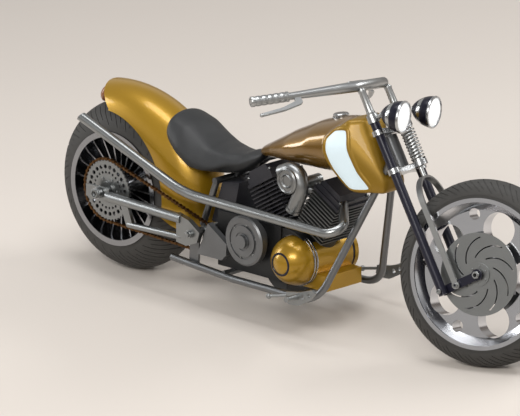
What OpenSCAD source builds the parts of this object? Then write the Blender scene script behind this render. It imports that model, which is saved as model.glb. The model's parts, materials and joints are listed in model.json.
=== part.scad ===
// Long low custom motorcycle with a sprung leading-link front fork, parked on its side stand.
// Drawn in a bike frame: X forward from the rear axle, Y to the rider's left, Z up, millimetres.
// Every sub-part is then leaned over onto the stand by one shared transform.

/* [Stance] */
// lean to the left when parked, degrees
lean_deg = 8; // [6:0.5:11]
// nose-up trim of the whole, degrees
trim_deg = 0.6; // [0:0.1:1]
// handlebar turned left against its stop, degrees
steer_deg = 20; // [15:1:25]
// rake of the steering axis from vertical, degrees
rake = 31; // [28:0.5:35]
// distance from the rear axle forward to the neck's top
neck_x = 1334; // [1300:2:1380]
// height of the neck's top
neck_z = 777; // [760:1:800]

/* [Wheels] */
// rear tyre outside radius
rear_tyre_r = 328; // [318:1:334]
// rear tyre half width, also its crown radius
rear_half = 113; // [106:1:116]
// rear rim flange radius
rear_rim_r = 222; // [214:1:228]
// front tyre outside radius
front_tyre_r = 350; // [342:1:354]
// front tyre half width, also its crown radius
front_half = 60; // [54:1:62]
// front rim flange radius
front_rim_r = 284; // [278:1:288]
// curved slots in the front brake disc
disc_slots = 9; // [6:1:12]
// large holes in the front wheel disc
front_holes = 5; // [4:1:6]
// turn of the front wheel as it stands, degrees
front_turn = 10; // [0:1:72]
// bladed spokes in the rear wheel
rear_blades = 24; // [16:2:30]
// front brake disc radius
front_disc_r = 156; // [140:1:165]
// rear brake disc radius
rear_disc_r = 125; // [110:1:135]
// wheel axle radius
axle_r = 12; // [10:0.5:14]
// bore through each hollow axle
axle_bore_r = 7; // [5:0.5:8]
// radial clearance at pins and axles
pin_gap = 0.5; // [0.3:0.1:1]

/* [Fork] */
// half spacing of the black rear legs
leg_y = 110; // [106:1:118]
// forward offset of the rear legs from the steering axis
leg_o = 20; // [16:1:26]
// rear leg radius
leg_r = 18; // [16:0.5:19]
// forward offset of the wheel axle from the steering axis
axle_o = 165; // [155:1:175]
// neck length along the steering axis
neck_len = 125; // [115:1:135]
// neck outside radius
neck_r = 31; // [28:0.5:33]
// steering stem radius
stem_r = 15; // [13:0.5:17]
// gap between neck ends and the clamps
neck_gap = 5; // [4:0.5:7]
// clamp plate thickness
clamp_h = 20; // [16:1:24]
// sprung leg bar width
bar_w = 22; // [18:1:26]
// sprung leg bar thickness
bar_t = 9; // [7:0.5:10]
// rocker thickness
rocker_t = 12; // [10:0.5:13]
// spring coil outside radius
coil_r = 28; // [24:1:30]
// headlamp shell radius
lamp_r = 60; // [54:1:64]
// half spacing of the headlamps
lamp_y = 131; // [126:1:136]
// handlebar tube radius
hbar_r = 15; // [12.7:0.1:16]
// bore in each handlebar end
bar_bore_r = 9; // [7:0.5:9.5]
// handlebar half width at the grip ends
hbar_half = 420; // [390:5:450]

/* [Frame] */
// half spacing of the lower rails
rail_y = 170; // [162:1:178]
// lower rail centre height at the front
rail_z = 126; // [118:1:134]
// lower rail and down tube radius
rail_r = 14; // [12:0.5:16]
// half spacing of the swingarm tubes
arm_y = 182; // [176:1:188]
// swingarm upper tube radius
arm_r = 19; // [17:0.5:20]
// swingarm pivot forward of the rear axle
pivot_x = 485; // [475:1:495]
// swingarm pivot height
pivot_z = 265; // [255:1:275]
// swingarm pivot shaft radius
pivot_r = 14; // [12:0.5:15]

/* [Drive] */
// rear sprocket pitch radius
sprocket_r = 122; // [116:1:128]
// front sprocket pitch radius
pinion_r = 55; // [50:1:58]
// chain centre plane to the right of the bike's middle
chain_y = 140; // [138:0.5:141]
// chain width over the plates
chain_w = 14; // [10:1:15]
// chain pitch between pins
chain_pitch = 19; // [15:0.5:25]
// front sprocket centre forward of the rear axle
pinion_x = 548; // [538:1:556]
// front sprocket centre height
pinion_z = 240; // [234:1:246]

/* [Engine] */
// crank centre forward of the rear axle
crank_x = 918; // [908:1:926]
// crank centre height
crank_z = 207; // [202:1:212]
// lean of each cylinder from vertical, degrees
bank = 30; // [28:0.5:32]
// cylinder fin half length
fin_half = 72; // [66:1:76]
// cylinder fin half width
fin_wide = 84; // [78:1:90]
// fins on each cylinder
fins = 11; // [8:1:12]
// transverse drum radius
drum_r = 95; // [88:1:98]
// transverse drum half length
drum_half = 158; // [150:1:162]
// transverse drum centre forward of the rear axle
drum_x = 954; // [948:1:960]
// transverse drum centre height
drum_z = 241; // [238:1:246]
// transverse drum's middle to the right of the bike's middle
drum_off = 15; // [5:1:20]
// exhaust pipe radius
pipe_r = 18.5; // [17:0.5:20]
// exhaust pipe centre to the right of the bike's middle
pipe_y = 204; // [200:1:210]

/* [Body] */
// fender sheet thickness
fender_t = 5; // [4:0.5:8]
// fender half width, also the radius of its crown section
fender_half = 126; // [125:0.5:128]
// fender crown radius over the wheel's top
crown_r = 571; // [565:1:577]
// fender crown radius down the wheel's front
apron_r = 352; // [348:1:356]
// fuel tank half width
tank_half = 128; // [115:1:130]
// seat half width
seat_half = 138; // [130:1:145]
// side stand tube radius
stand_r = 13; // [11:0.5:15]

/* [Hidden] */
$fn = 64;
eps = 0.3;
// neck top, on the steering axis
neck = [neck_x, 0, neck_z];
// rear axle height that puts the leaning rear tyre on the ground
rear_z = rear_tyre_r - rear_half + rear_half / cos(lean_deg);
// tilt of the front axle line when leaned and steered
rake_now = rake + trim_deg;
neck_up = rear_z + neck_x * sin(trim_deg) + (neck_z - rear_z) * cos(trim_deg);
front_nz = cos(steer_deg) * sin(lean_deg) + sin(rake_now) * sin(steer_deg) * cos(lean_deg);
front_drop = (front_tyre_r - front_half) * sqrt(1 - front_nz * front_nz) + front_half;
// front axle distance down the fork that puts the front tyre on the ground
axle_t = (neck_up + axle_o * sin(rake_now) * cos(steer_deg)
    - (front_drop + axle_o * sin(steer_deg) * sin(lean_deg)) / cos(lean_deg)) / cos(rake_now);
// middle of the footprint, so the origin lies under the middle of the whole
mid_x = 897;
mid_y = 38;
// gap where one piece is seated on another
seat_gap = 0.2;
// tyre seats
rear_seat = rear_rim_r - 8;
front_seat = front_rim_r - 8;
flange = 5;
// fork stations, along the steering axis down from the neck's top
top_t = -neck_gap - clamp_h;
low_t = neck_len + neck_gap;
bar_y = leg_y - leg_r - rocker_t + 6 + bar_t / 2 + 6;
rocker_y = leg_y - leg_r - 3 - rocker_t / 2;
bar_o = leg_o + 55;
arch_t = 290;
pivot_t = axle_t + 4;
riser_t = -205;
leg_top = -82;
// handlebar: corner beside the riser, and the grip's end
bar_bend = [15, leg_y + 2, -riser_t];
bar_end = [-273, hbar_half, 78 - riser_t];
// side stand: pivot, foot on the ground, folded direction and hinge line
stand_at = [740, rail_y + rail_r + 28, rail_z];
stand_foot = on_ground(stand_at[0] + 58, stand_at[1] + 112);
stand_dir = stand_foot - stand_at;
stand_fold = [-0.98, 0.17, 0.03];
stand_turn = cross(stand_dir, stand_fold);
stand_axis = stand_turn / norm(stand_turn);
stand_pin = 8;
// where the drum's near dome starts, and how far its two bands stand proud
dome_y = -drum_half + 70;
band_h = 3;
// cylinder head face, from the crank
head_d = 168 + fins * 15;
// fender arcs in side view: the crown's centre, the angle where the apron takes over, the apron's centre
crown_at = [-28, 156];
apron_from = 58;
apron_at = crown_at + (crown_r - apron_r) * [cos(apron_from), sin(apron_from)];
crown_end = 100;
apron_end = -22;
// plane where the seat meets the tank
seat_end = 716;
// tank sections: [x, z, half width, half height]
tank_st = [[690, 596, 44, 14], [800, 632, 88, 38], [900, 660, tank_half - 12, 66], [1020, 690, tank_half, 92],
    [1130, 708, tank_half - 2, 108], [1215, 716, tank_half - 14, 114]];
// nose edges in the neck's frame: [forward, up, half width]
nose_edges = [[-95, 100, 85], [-56, 85, 45], [-68, -150, 50], [-85, -175, 55], [-180, -122, 100]];
// side outlines of the nose and of the pale panel let into it, in the neck's frame
nose_side = [[-70, 150], [-100, 112], [-160, 104], [-205, 84], [-228, 46], [-244, -29], [-215, -110],
    [-190, -150], [0, -270], [80, 0], [0, 170]];
panel_side = [[-145, 94], [-107, 72], [-124, 10], [-135, -81], [-130, -148], [-192, -114], [-221, -29],
    [-211, 44], [-186, 78]];
// depth that the panel is let in, and how far its face stays below the rim
panel_deep = 3;
panel_low = 1;

function unit(v) = v / norm(v);
// how far a tube turns at a corner, and how far from the corner its elbow starts
function turn_at(p, i) = acos(unit(p[i] - p[i - 1]) * unit(p[i + 1] - p[i]));
function tangent(p, i, bends) =
    i == 0 || i == len(p) - 1 ? 0 : bends[i - 1] * tan(turn_at(p, i) / 2);
function on_ground(x, y) =
    [x, y, rear_z + (y * tan(lean_deg) - rear_z - x * sin(trim_deg)) / cos(trim_deg)];
function side(p, s) = [p[0], s * p[1], p[2]];

// bike frame to parked stance
module parked() {
    translate([-mid_x, -mid_y, 0]) rotate([-lean_deg, 0, 0])
        translate([0, 0, rear_z]) rotate([0, -trim_deg, 0]) translate([0, 0, -rear_z]) children();
}
// fork frame: Z up the steering axis from the neck's top, X forward
module neck_frame() { translate(neck) rotate([0, -rake, 0]) children(); }
module fork() { parked() neck_frame() rotate([0, 0, steer_deg]) children(); }
// wheel frames: Y along the axle
module rear_hub() { parked() translate([0, 0, rear_z]) children(); }
module front_hub() { fork() translate([axle_o, 0, -axle_t]) children(); }
module about_y() { rotate([-90, 0, 0]) children(); }
module toward(a, b) {
    d = b - a;
    translate(a) rotate([0, acos(d[2] / norm(d)), atan2(d[1], d[0])]) children();
}
module rod(a, b, r) { toward(a, b) cylinder(r = r, h = norm(b - a)); }
// tube through corner points, each inner corner rounded by an elbow of its own bend radius
module tube(p, r, bends) {
    for (i = [0:len(p) - 2]) let (d = unit(p[i + 1] - p[i]))
        rod(p[i] + d * tangent(p, i, bends), p[i + 1] - d * tangent(p, i + 1, bends), r);
    for (i = [1:len(p) - 2]) {
        bend = bends[i - 1];
        d = unit(p[i] - p[i - 1]);
        n = unit(cross(d, p[i + 1] - p[i]));
        c = cross(n, d);
        at = p[i] - d * tangent(p, i, bends) + c * bend;
        lap = 115 / bend;
        multmatrix([[-c[0], d[0], n[0], at[0]], [-c[1], d[1], n[1], at[1]], [-c[2], d[2], n[2], at[2]]])
            rotate(-lap) rotate_extrude(angle = turn_at(p, i) + 2 * lap)
                translate([bend, 0]) circle(r = r + eps);
    }
}
module across(x, y0, y1, z, r) { translate([x, y0, z]) about_y() cylinder(r = r, h = y1 - y0); }

module tyre(r, half, seat_r) {
    about_y() rotate_extrude($fn = 96) difference() {
        translate([r - half, 0]) circle(r = half);
        translate([0, -half - 1]) square([seat_r, 2 * half + 2]);
    }
}
module rim_ring(rim_r, seat_r, half, deep) {
    about_y() rotate_extrude($fn = 96) {
        translate([seat_r - deep, -half - flange]) square([deep, 2 * half + 2 * flange]);
        for (s = [-half - flange, half])
            translate([seat_r - deep, s]) square([rim_r - seat_r + deep, flange]);
    }
}

module rear_tyre() { color([0.15, 0.14, 0.13]) rear_hub() tyre(rear_tyre_r, rear_half, rear_seat); }
module front_tyre() { color([0.15, 0.14, 0.13]) front_hub() tyre(front_tyre_r, front_half, front_seat); }

hub_half = 104;
module rear_rim() {
    color([0.8, 0.8, 0.82]) rear_hub() difference() {
        union() {
            rim_ring(rear_rim_r, rear_seat, rear_half, 14);
            across(0, -hub_half, hub_half, 0, 52);
            for (i = [0:rear_blades - 1]) rotate([0, i * 360 / rear_blades, 0])
                translate([-3, -70, 48]) cube([6, 140, rear_seat - 14 - 46]);
        }
        across(0, -hub_half - 1, hub_half + 1, 0, axle_r + pin_gap);
    }
}
module rear_sprocket() {
    teeth = 44;
    color([0.55, 0.56, 0.58]) rear_hub() difference() {
        union() {
            across(0, -chain_y - 3, -chain_y + 3, 0, sprocket_r - 9);
            for (i = [0:teeth - 1]) rotate([0, i * 360 / teeth, 0])
                translate([-4, -chain_y - 3, sprocket_r - 12]) cube([8, 6, 7]);
            across(0, -chain_y, -hub_half, 0, 60);
            across(0, -chain_y - 12, -chain_y, 0, 34);
        }
        across(0, -chain_y - 20, 0, 0, axle_r + pin_gap);
        for (row = [[92, 24, 8], [70, 24, 5]]) for (i = [0:row[1] - 1])
            rotate([0, (i + 0.5) * 360 / row[1], 0]) across(0, -chain_y - 5, -chain_y + 5, row[0], row[2]);
    }
}
module rear_disc() {
    color([0.6, 0.6, 0.62]) rear_hub() difference() {
        union() {
            across(0, chain_y - 3, chain_y + 3, 0, rear_disc_r);
            across(0, hub_half, chain_y, 0, 60);
        }
        across(0, hub_half - 1, chain_y + 20, 0, axle_r + pin_gap);
    }
}
module rear_axle() {
    e = arm_y + 26;
    color([0.75, 0.75, 0.77]) rear_hub() difference() {
        union() {
            across(0, -e, e, 0, axle_r);
            for (y = [-arm_y - 25, arm_y + 9]) across(0, y, y + 16, 0, 22);
        }
        across(0, -e - 1, e + 1, 0, axle_bore_r);
    }
}
module rear_caliper() {
    color([0.45, 0.46, 0.48]) parked() translate([0, 0, rear_z]) rotate([0, -8, 0]) difference() {
        translate([rear_disc_r - 44, chain_y - 18, -36]) cube([70, arm_y - arm_r + 3 - chain_y + 18, 72]);
        translate([0, chain_y - 9, -60]) cube([rear_disc_r + 6, 18, 120]);
    }
}
// plate across Y with its outline in side view
module slab(y, t, pts) {
    translate([0, y - t / 2, 0]) rotate([90, 0, 0]) mirror([0, 0, 1]) linear_extrude(t) polygon(pts);
}
module arm_side(s) {
    y = s * arm_y;
    top = rear_z - 9;
    low = pivot_z - 33;
    difference() {
        union() {
            rod([36, y, top], [pivot_x - 52, y, top - 8], arm_r);
            rod([150, y, low], [pivot_x - 52, y, low + 9], 12);
            slab(y, 16, [[108, top], [146, top], [178, low + 4], [168, low - 8], [146, low - 8]]);
            slab(y, 10, [[-72, rear_z + 22], [50, rear_z + 22], [50, rear_z - 30], [-72, rear_z - 26]]);
            slab(y, 22, [[pivot_x - 72, rear_z + 4], [pivot_x - 8, rear_z - 12], [pivot_x + 50, pivot_z + 14],
                [pivot_x + 36, pivot_z - 28], [pivot_x - 20, pivot_z - 50], [pivot_x - 72, pivot_z - 44]]);
        }
        across(0, y - 30, y + 30, rear_z, axle_r);
        across(pivot_x, y - 30, y + 30, pivot_z, pivot_r);
    }
}
module swingarm_right() { color([0.5, 0.5, 0.51]) parked() arm_side(-1); }
module swingarm_left() { color([0.5, 0.5, 0.51]) parked() arm_side(1); }
module swingarm_pivot() {
    sleeve = chain_y - chain_w / 2 - 15;
    color([0.5, 0.5, 0.51]) parked() {
        across(pivot_x, -sleeve, sleeve, pivot_z, pivot_r + 6);
        across(pivot_x, -arm_y - 22, arm_y + 22, pivot_z, pivot_r);
        translate([pivot_x - 32, -40, pivot_z - 10]) cube([20, 80, 20]);
    }
}

// chain loop round the two sprockets, from the rear one's upper tangent point, by distance along it
chain_span = [pinion_x, pinion_z - rear_z];
chain_d = norm(chain_span);
chain_a = acos((sprocket_r - pinion_r) / chain_d);
chain_run = chain_d * sin(chain_a);
chain_front = pinion_r * 2 * chain_a * PI / 180;
chain_all = 2 * chain_run + chain_front + sprocket_r * (360 - 2 * chain_a) * PI / 180;
links = 2 * round(chain_all / chain_pitch / 2);
function mix(a, b, u) = a + (b - a) * u;
function spoke(x, r, a) = [x + r * cos(a), r * sin(a)];
function loop_at(d) = let (s = d < 0 ? d + chain_all : d >= chain_all ? d - chain_all : d)
    s < chain_run ? mix(spoke(0, sprocket_r, chain_a), spoke(chain_d, pinion_r, chain_a), s / chain_run)
    : s < chain_run + chain_front ? spoke(chain_d, pinion_r, chain_a - (s - chain_run) / pinion_r * 180 / PI)
    : s < 2 * chain_run + chain_front
        ? mix(spoke(chain_d, pinion_r, -chain_a), spoke(0, sprocket_r, -chain_a),
            (s - chain_run - chain_front) / chain_run)
    : spoke(0, sprocket_r, -chain_a - (s - 2 * chain_run - chain_front) / sprocket_r * 180 / PI);
function beside(d, off) =
    let (t = loop_at(d + 1) - loop_at(d - 1)) loop_at(d) + off * [-t[1], t[0]] / norm(t);
// one edge of the plates: full height round each pin, waisted between pins
function plate_edge(full, waist) =
    [for (i = [0:links - 1]) for (k = [[-0.28, full], [0.28, full], [0.5, waist]])
        beside((i + k[0]) * chain_all / links, k[1])];
module chain() {
    color([0.3, 0.2, 0.12]) parked() translate([0, -chain_y, rear_z]) rotate([90, 0, 0])
        rotate(atan2(chain_span[1], chain_span[0])) translate([0, 0, -chain_w / 2]) linear_extrude(chain_w)
            difference() {
                polygon(plate_edge(8, 5));
                polygon(plate_edge(-4, -2.5));
            }
}
module side_covers() {
    y0 = chain_y + chain_w / 2 + 6;
    color([0.4, 0.4, 0.41]) parked() {
        translate([0, -y0, 0]) rotate([90, 0, 0]) linear_extrude(26)
            polygon([[566, 320], [510, 190], [636, 190], [662, 214], [664, 258]]);
        translate([752, 0, 289]) about_y() rotate_extrude() difference() {
            polygon([[0, -118], [70, -118], [70, -150], [97, -150], [97, -174], [90, -180], [70, -180],
                [70, -176], [60, -176], [60, -183], [0, -183]]);
            translate([30, -190]) square([6, 10]);
        }
        across(752, -196, -183, 289, 26);
    }
}
module crankcase() {
    color([0.42, 0.42, 0.44]) parked() difference() {
        union() {
            translate([560, -118, 146]) cube([330, 226, 214]);
            across(crank_x, -112, 112, crank_z + 20, 130);
            for (s = [-1, 1]) bank_frame(s) cylinder(r = fin_half - 8, h = 156);
            across(pinion_x, -chain_y - 4, -chain_y + 4, pinion_z, pinion_r - 10);
            across(pinion_x, -chain_y + 4, -98, pinion_z, 24);
            translate([560, -118, pinion_z - 30]) cube([60, 226, 60]);
        }
        across(drum_x, -drum_half - 40, drum_half + 40, drum_z, drum_r + seat_gap);
        across(drum_x, -drum_half - 40, dome_y - drum_off + 22, drum_z, drum_r + band_h + seat_gap);
        translate([914 - seat_gap, -150, 0]) cube([300, 300, 202]);
        translate([drum_x, -150, 0]) cube([300, 300, drum_z]);
    }
}
module drum() {
    button_r = 44;
    button_y = dome_y - sqrt(drum_r * drum_r - button_r * button_r);
    button_ball = 76;
    color([0.78, 0.55, 0.1]) parked() {
        translate([drum_x, -drum_off, drum_z]) about_y() rotate_extrude() {
            translate([0, dome_y]) square([drum_r, drum_half - 34 - dome_y]);
            for (y = [dome_y, dome_y + 14]) translate([0, y]) square([drum_r + band_h, 7]);
            translate([0, drum_half - 40]) square([drum_r - 14, 22]);
            translate([0, drum_half - 18]) square([drum_r - 4, 18]);
            intersection() {
                translate([0, dome_y]) circle(r = drum_r);
                translate([0, button_y]) square([drum_r, dome_y - button_y]);
            }
            intersection() {
                translate([0, button_y + sqrt(button_ball * button_ball - 38 * 38)]) circle(r = button_ball);
                translate([0, button_y - 40]) square([38, 41]);
            }
        }
        translate([914, -80, rail_z + 12]) cube([176, 190, 60]);
    }
}
module bank_frame(s) { translate([crank_x, 0, crank_z]) rotate([0, s * bank, 0]) children(); }
module barrel(s) {
    parked() bank_frame(s) {
        translate([0, 0, 156]) cylinder(r = fin_half - 16, h = head_d - 156);
        for (i = [0:fins - 1]) translate([-fin_half, -fin_wide, 168 + i * 15])
            cube([2 * fin_half, 2 * fin_wide, 5]);
    }
}
module head(s) {
    parked() bank_frame(s) translate([0, 0, head_d]) {
        translate([-fin_half, -fin_wide, 0]) cube([2 * fin_half, 2 * fin_wide, 14]);
        translate([-fin_half + 6, -fin_wide + 6, 14]) cube([2 * fin_half - 12, 2 * fin_wide - 12, 22]);
        rotate([90, 0, 0]) translate([0, 0, -fin_wide + 10]) linear_extrude(2 * fin_wide - 20)
            polygon([[-fin_half + 10, 30], [fin_half - 10, 30], [fin_half - 26, 60], [26 - fin_half, 60]]);
    }
}
module front_cylinder() { color([0.3, 0.3, 0.31]) barrel(1); }
module front_head() { color([0.08, 0.08, 0.1]) head(1); }
module rear_cylinder() {
    color([0.12, 0.12, 0.13]) {
        barrel(-1);
        head(-1);
    }
}
module air_cleaner() {
    // round face, and the trumpet that curls over and down from it
    face = [980, -186, 570];
    curl = [[925, -150, 588], [1000, -150, 622], [1030, -150, 540], [985, -150, 450]];
    color([0.6, 0.6, 0.62]) parked() {
        translate(face) about_y() rotate_extrude()
            polygon([[0, 6], [20, 6], [24, 0], [28, 6], [40, 6], [44, 0], [50, 4], [50, 70], [0, 70]]);
        tube(curl, 28, [45, 60]);
        toward(curl[3], curl[2]) cylinder(r = 31, h = 12);
        across(950, -120, 26, 530, 23);
        rod([crank_x - 98, 0, 492], [crank_x + 98, 0, 492], 25);
        rod([942, 0, 492], [947, 0, 538], 20);
    }
}
module exhaust() {
    // out of the head, round the elbow, back along the side and up to the slash-cut tail
    path = [[1130, -30, 490], [1300, -pipe_y, 416], [468, -pipe_y, 424], [-120, -pipe_y, 631.5]];
    rise = unit(path[3] - path[2]);
    color([0.55, 0.55, 0.56]) parked() difference() {
        tube(path, pipe_r, [50, 500]);
        rod(path[3] - rise * 190, path[3] + rise * 60, pipe_r - 3);
        translate([-85, -pipe_y - 60, 610]) rotate([0, 37.5, 0])
            translate([-120, 0, -90]) cube([120, 120, 180]);
    }
}
module oil_box() {
    color([0.06, 0.06, 0.1]) parked() slab(0, 180, [[556, 462], [645, 476],
        [618, 360 + seat_gap], [556, 360 + seat_gap], [552, 300], [500, 300]]);
}
module rear_fender() {
    // the crown's sheet is a shade thinner, so it enters the apron's sheet cleanly
    color([0.78, 0.55, 0.1]) parked() difference() {
        union() {
            fender_sheet(crown_at, crown_r, apron_from - 0.6, crown_end, eps / 2);
            fender_sheet(apron_at, apron_r, apron_end, apron_from, 0);
        }
        translate([-35, -300, 331]) about_y() cylinder(r = 305, h = 600, $fn = 300);
        translate([-17, -300, 640]) rotate([0, 42, 0]) translate([-300, 0, -300]) cube([300, 600, 300]);
    }
}
module fender_section(r, t) {
    spine = r - fender_half;
    translate([spine, 0]) circle(r = fender_half - t);
    translate([spine - 80, -fender_half + t]) square([80, 2 * fender_half - 2 * t]);
}
module fender_arc(at, r, from, to, t) {
    translate([at[0], 0, at[1]]) rotate([90, 0, 0]) rotate([0, 0, from])
        rotate_extrude(angle = to - from, $fn = 120) fender_section(r, t);
}
module fender_sheet(at, r, from, to, in) {
    translate([at[0], 0, at[1]]) rotate([90, 0, 0]) rotate([0, 0, from])
        rotate_extrude(angle = to - from, $fn = 120) difference() {
            fender_section(r, in);
            fender_section(r, fender_t - in);
        }
}
module tail_lamp() {
    color([0.5, 0.08, 0.05]) parked() {
        translate([-151, 0, 648]) rotate([0, -34, 0]) {
            translate([-8, -30, -19]) cube([16, 60, 38]);
            translate([-8, 0, 0]) rotate([0, -90, 0]) cylinder(r = 15, h = 5);
        }
        rod([-149, 0, 652], [-84, 0, 718], 6);
    }
}
module seat() {
    // sections: [x, z, half width, half height]
    st = [[285, 615, seat_half - 26, 66], [350, 580, seat_half - 6, 75], [410, 545, seat_half, 68],
        [470, 530, seat_half - 8, 50], [540, 528, seat_half - 26, 40], [620, 538, 86, 33],
        [735, 606, 46, 20]];
    color([0.09, 0.09, 0.1]) parked() difference() {
        for (i = [0:len(st) - 2]) hull() for (j = [i, i + 1]) translate([st[j][0], 0, st[j][1]])
            scale([0.5, st[j][2] / st[j][3], 1]) sphere(r = st[j][3], $fn = 28);
        // the apron's arc, carried a little past the crown, with room for the crown's flatter curve
        fender_arc(apron_at, apron_r, apron_end, apron_from + 12, -4 * seat_gap);
        backbone(seat_gap);
        across(537, -130, 130, 466, 13 + seat_gap);
        translate([seat_end, -200, 400]) cube([200, 400, 400]);
    }
}
module tank_section(p, in) {
    translate([p[0], 0, p[1]]) scale([0.4, (p[2] - in) / (p[3] - in), 1]) sphere(r = p[3] - in, $fn = 30);
}
module nose_form(in) {
    hull() {
        for (i = [4, 5]) tank_section(tank_st[i], in);
        neck_frame() for (p = nose_edges) translate([p[0], -p[2] + in, p[1]]) about_y()
            cylinder(r = 15 - in, h = 2 * (p[2] - in), $fn = 24);
    }
}
module through(side_points) {
    neck_frame() rotate([90, 0, 0]) translate([0, 0, -200]) linear_extrude(400) polygon(side_points);
}
module fuel_tank() {
    color([0.45, 0.3, 0.08]) parked() difference() {
        for (i = [0:len(tank_st) - 2]) hull() for (j = [i, i + 1]) tank_section(tank_st[j], 0);
        translate([seat_end + seat_gap - 200, -200, 400]) cube([200, 400, 400]);
        backbone(seat_gap);
        through(nose_side);
    }
}
module tank_nose() {
    color([0.78, 0.55, 0.1]) parked() difference() {
        intersection() {
            nose_form(0);
            through(nose_side);
        }
        difference() {
            through(panel_side);
            nose_form(panel_deep);
        }
        backbone(seat_gap);
        for (s = [-1, 1]) cradle_tube(s, seat_gap);
    }
}
module tank_panels() {
    color([0.8, 0.9, 0.95]) parked() difference() {
        intersection() {
            nose_form(panel_low);
            through(panel_side);
        }
        nose_form(panel_deep);
    }
}
module backbone(gap) {
    tube([[neck_x + 34, 0, neck_z - 75], [820, 0, 618], [650, 0, 548], [537, 0, 466]], 14 + gap, [150, 150]);
}
module neck_frame_tube() {
    color([0.35, 0.36, 0.38]) parked() {
        neck_frame() difference() {
            translate([0, 0, -neck_len]) cylinder(r = neck_r, h = neck_len);
            translate([0, 0, -neck_len - 1]) cylinder(r = stem_r + pin_gap, h = neck_len + 2);
        }
        difference() {
            backbone(0);
            neck_frame() translate([0, 0, -neck_len - 1]) cylinder(r = stem_r + pin_gap, h = neck_len + 2);
        }
    }
}
// down tube from the neck to the corner, then the lower rail
module cradle_tube(s, gap) {
    tube([[neck_x + 30, s * 20, neck_z - 85], [neck_x - 16, s * 36, neck_z - 187],
        [1131, s * (rail_y + 2), rail_z], [690, s * rail_y, rail_z], [370, s * rail_y, rail_z + 22]],
        rail_r + gap, [80, 120, 300]);
}
module cradle(s) {
    parked() difference() {
        cradle_tube(s, 0);
        neck_frame() translate([0, 0, -neck_len - 1]) cylinder(r = neck_r - 3, h = neck_len + 2);
    }
}
module cradle_right() { color([0.4, 0.41, 0.43]) cradle(-1); }
module cradle_left() {
    color([0.4, 0.41, 0.43]) {
        cradle(1);
        stand_lug();
    }
}
module frame_braces() {
    color([0.4, 0.41, 0.43]) parked() {
        for (s = [-1, 1]) {
            rod([537, s * 100, 466], [464, s * 100, 280], 13);
            slab(s * 158, 8, [[pivot_x - 34, rail_z + 8], [pivot_x + 14, rail_z + 8],
                [pivot_x + 20, pivot_z + 24], [pivot_x - 26, pivot_z + 24]]);
        }
        across(537, -112, 112, 466, 13);
        for (x = [640, 1010]) across(x, -rail_y, rail_y, rail_z + (x < 700 ? 10 : 0), 12);
    }
}
module hinge() {
    translate(stand_at) rotate([0, acos(stand_axis[2]), atan2(stand_axis[1], stand_axis[0])]) children();
}
module side_stand() {
    color([0.4, 0.41, 0.43]) parked() {
        hinge() difference() {
            cylinder(r = 17, h = 26, center = true);
            cylinder(r = stand_pin + pin_gap, h = 30, center = true);
        }
        rod(stand_at + stand_dir * 0.1, stand_foot + [0, 0, stand_r], stand_r);
        translate(stand_foot) rotate([0, trim_deg, 0]) rotate([lean_deg, 0, 0]) cylinder(r = 28, h = 11);
    }
}
module stand_lug() {
    parked() {
        hinge() {
            translate([0, 0, -28]) cylinder(r = stand_pin, h = 48);
            translate([0, 0, -28]) cylinder(r = 15, h = 11);
        }
        rod(stand_at - stand_axis * 28, [stand_at[0], rail_y, rail_z], 8);
    }
}
module control(s) {
    // bracket plate beside the rail with its holes, a ball-ended lever and the foot rest
    plate = [[1040, 136], [1060, 122], [1110, 126], [1170, 158], [1196, 190], [1178, 200], [1110, 178],
        [1046, 168]];
    y = s * (rail_y + 76);
    parked() {
        difference() {
            slab(y, 12, plate);
            for (p = [[1062, 146, 8], [1134, 162, 9], [1164, 176, 8]])
                across(p[0], y - 20, y + 20, p[1], p[2]);
        }
        rod([1090, s * rail_y, rail_z + 12], [1092, y, rail_z + 22], 9);
        rod([1048, y + s * 2, 154], [959, y + s * 8, 134], 6);
        translate([959, y + s * 8, 134]) sphere(r = 11);
        rod([1104, y - s * 3, 160], [1104, y + s * 66, 162], 11);
    }
}
module control_right() { color([0.5, 0.5, 0.52]) control(-1); }
module control_left() { color([0.5, 0.5, 0.52]) control(1); }

module clamp_plate(t) {
    translate([0, 0, -t - clamp_h]) difference() {
        union() {
            cylinder(r = 36, h = clamp_h);
            for (s = [-1, 1]) {
                translate([leg_o, s * leg_y, 0]) cylinder(r = leg_r + 7, h = clamp_h);
                translate([leg_o - 20, s > 0 ? 0 : -leg_y, 0]) cube([40, leg_y, clamp_h]);
            }
        }
        for (s = [-1, 1]) translate([leg_o, s * leg_y, -1]) cylinder(r = leg_r, h = clamp_h + 2);
    }
}
module stem() {
    color([0.75, 0.75, 0.77]) fork() {
        clamp_plate(top_t);
        clamp_plate(low_t);
        translate([0, 0, -low_t - 2]) cylinder(r = stem_r, h = low_t + neck_gap + 4);
        for (t = [top_t, low_t]) {
            translate([leg_o, -24, -t - clamp_h]) cube([bar_o - leg_o, 48, clamp_h]);
            translate([bar_o + 5, 0, -t - clamp_h]) cylinder(r = coil_r, h = clamp_h);
        }
    }
}
module fork_legs() {
    color([0.05, 0.05, 0.08]) fork() for (s = [-1, 1]) difference() {
        translate([leg_o, s * leg_y, -pivot_t - 16]) cylinder(r = leg_r, h = pivot_t + 16 - leg_top);
        translate([leg_o, s * leg_y - 40, -pivot_t]) about_y() cylinder(r = 8, h = 80);
    }
}
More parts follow.
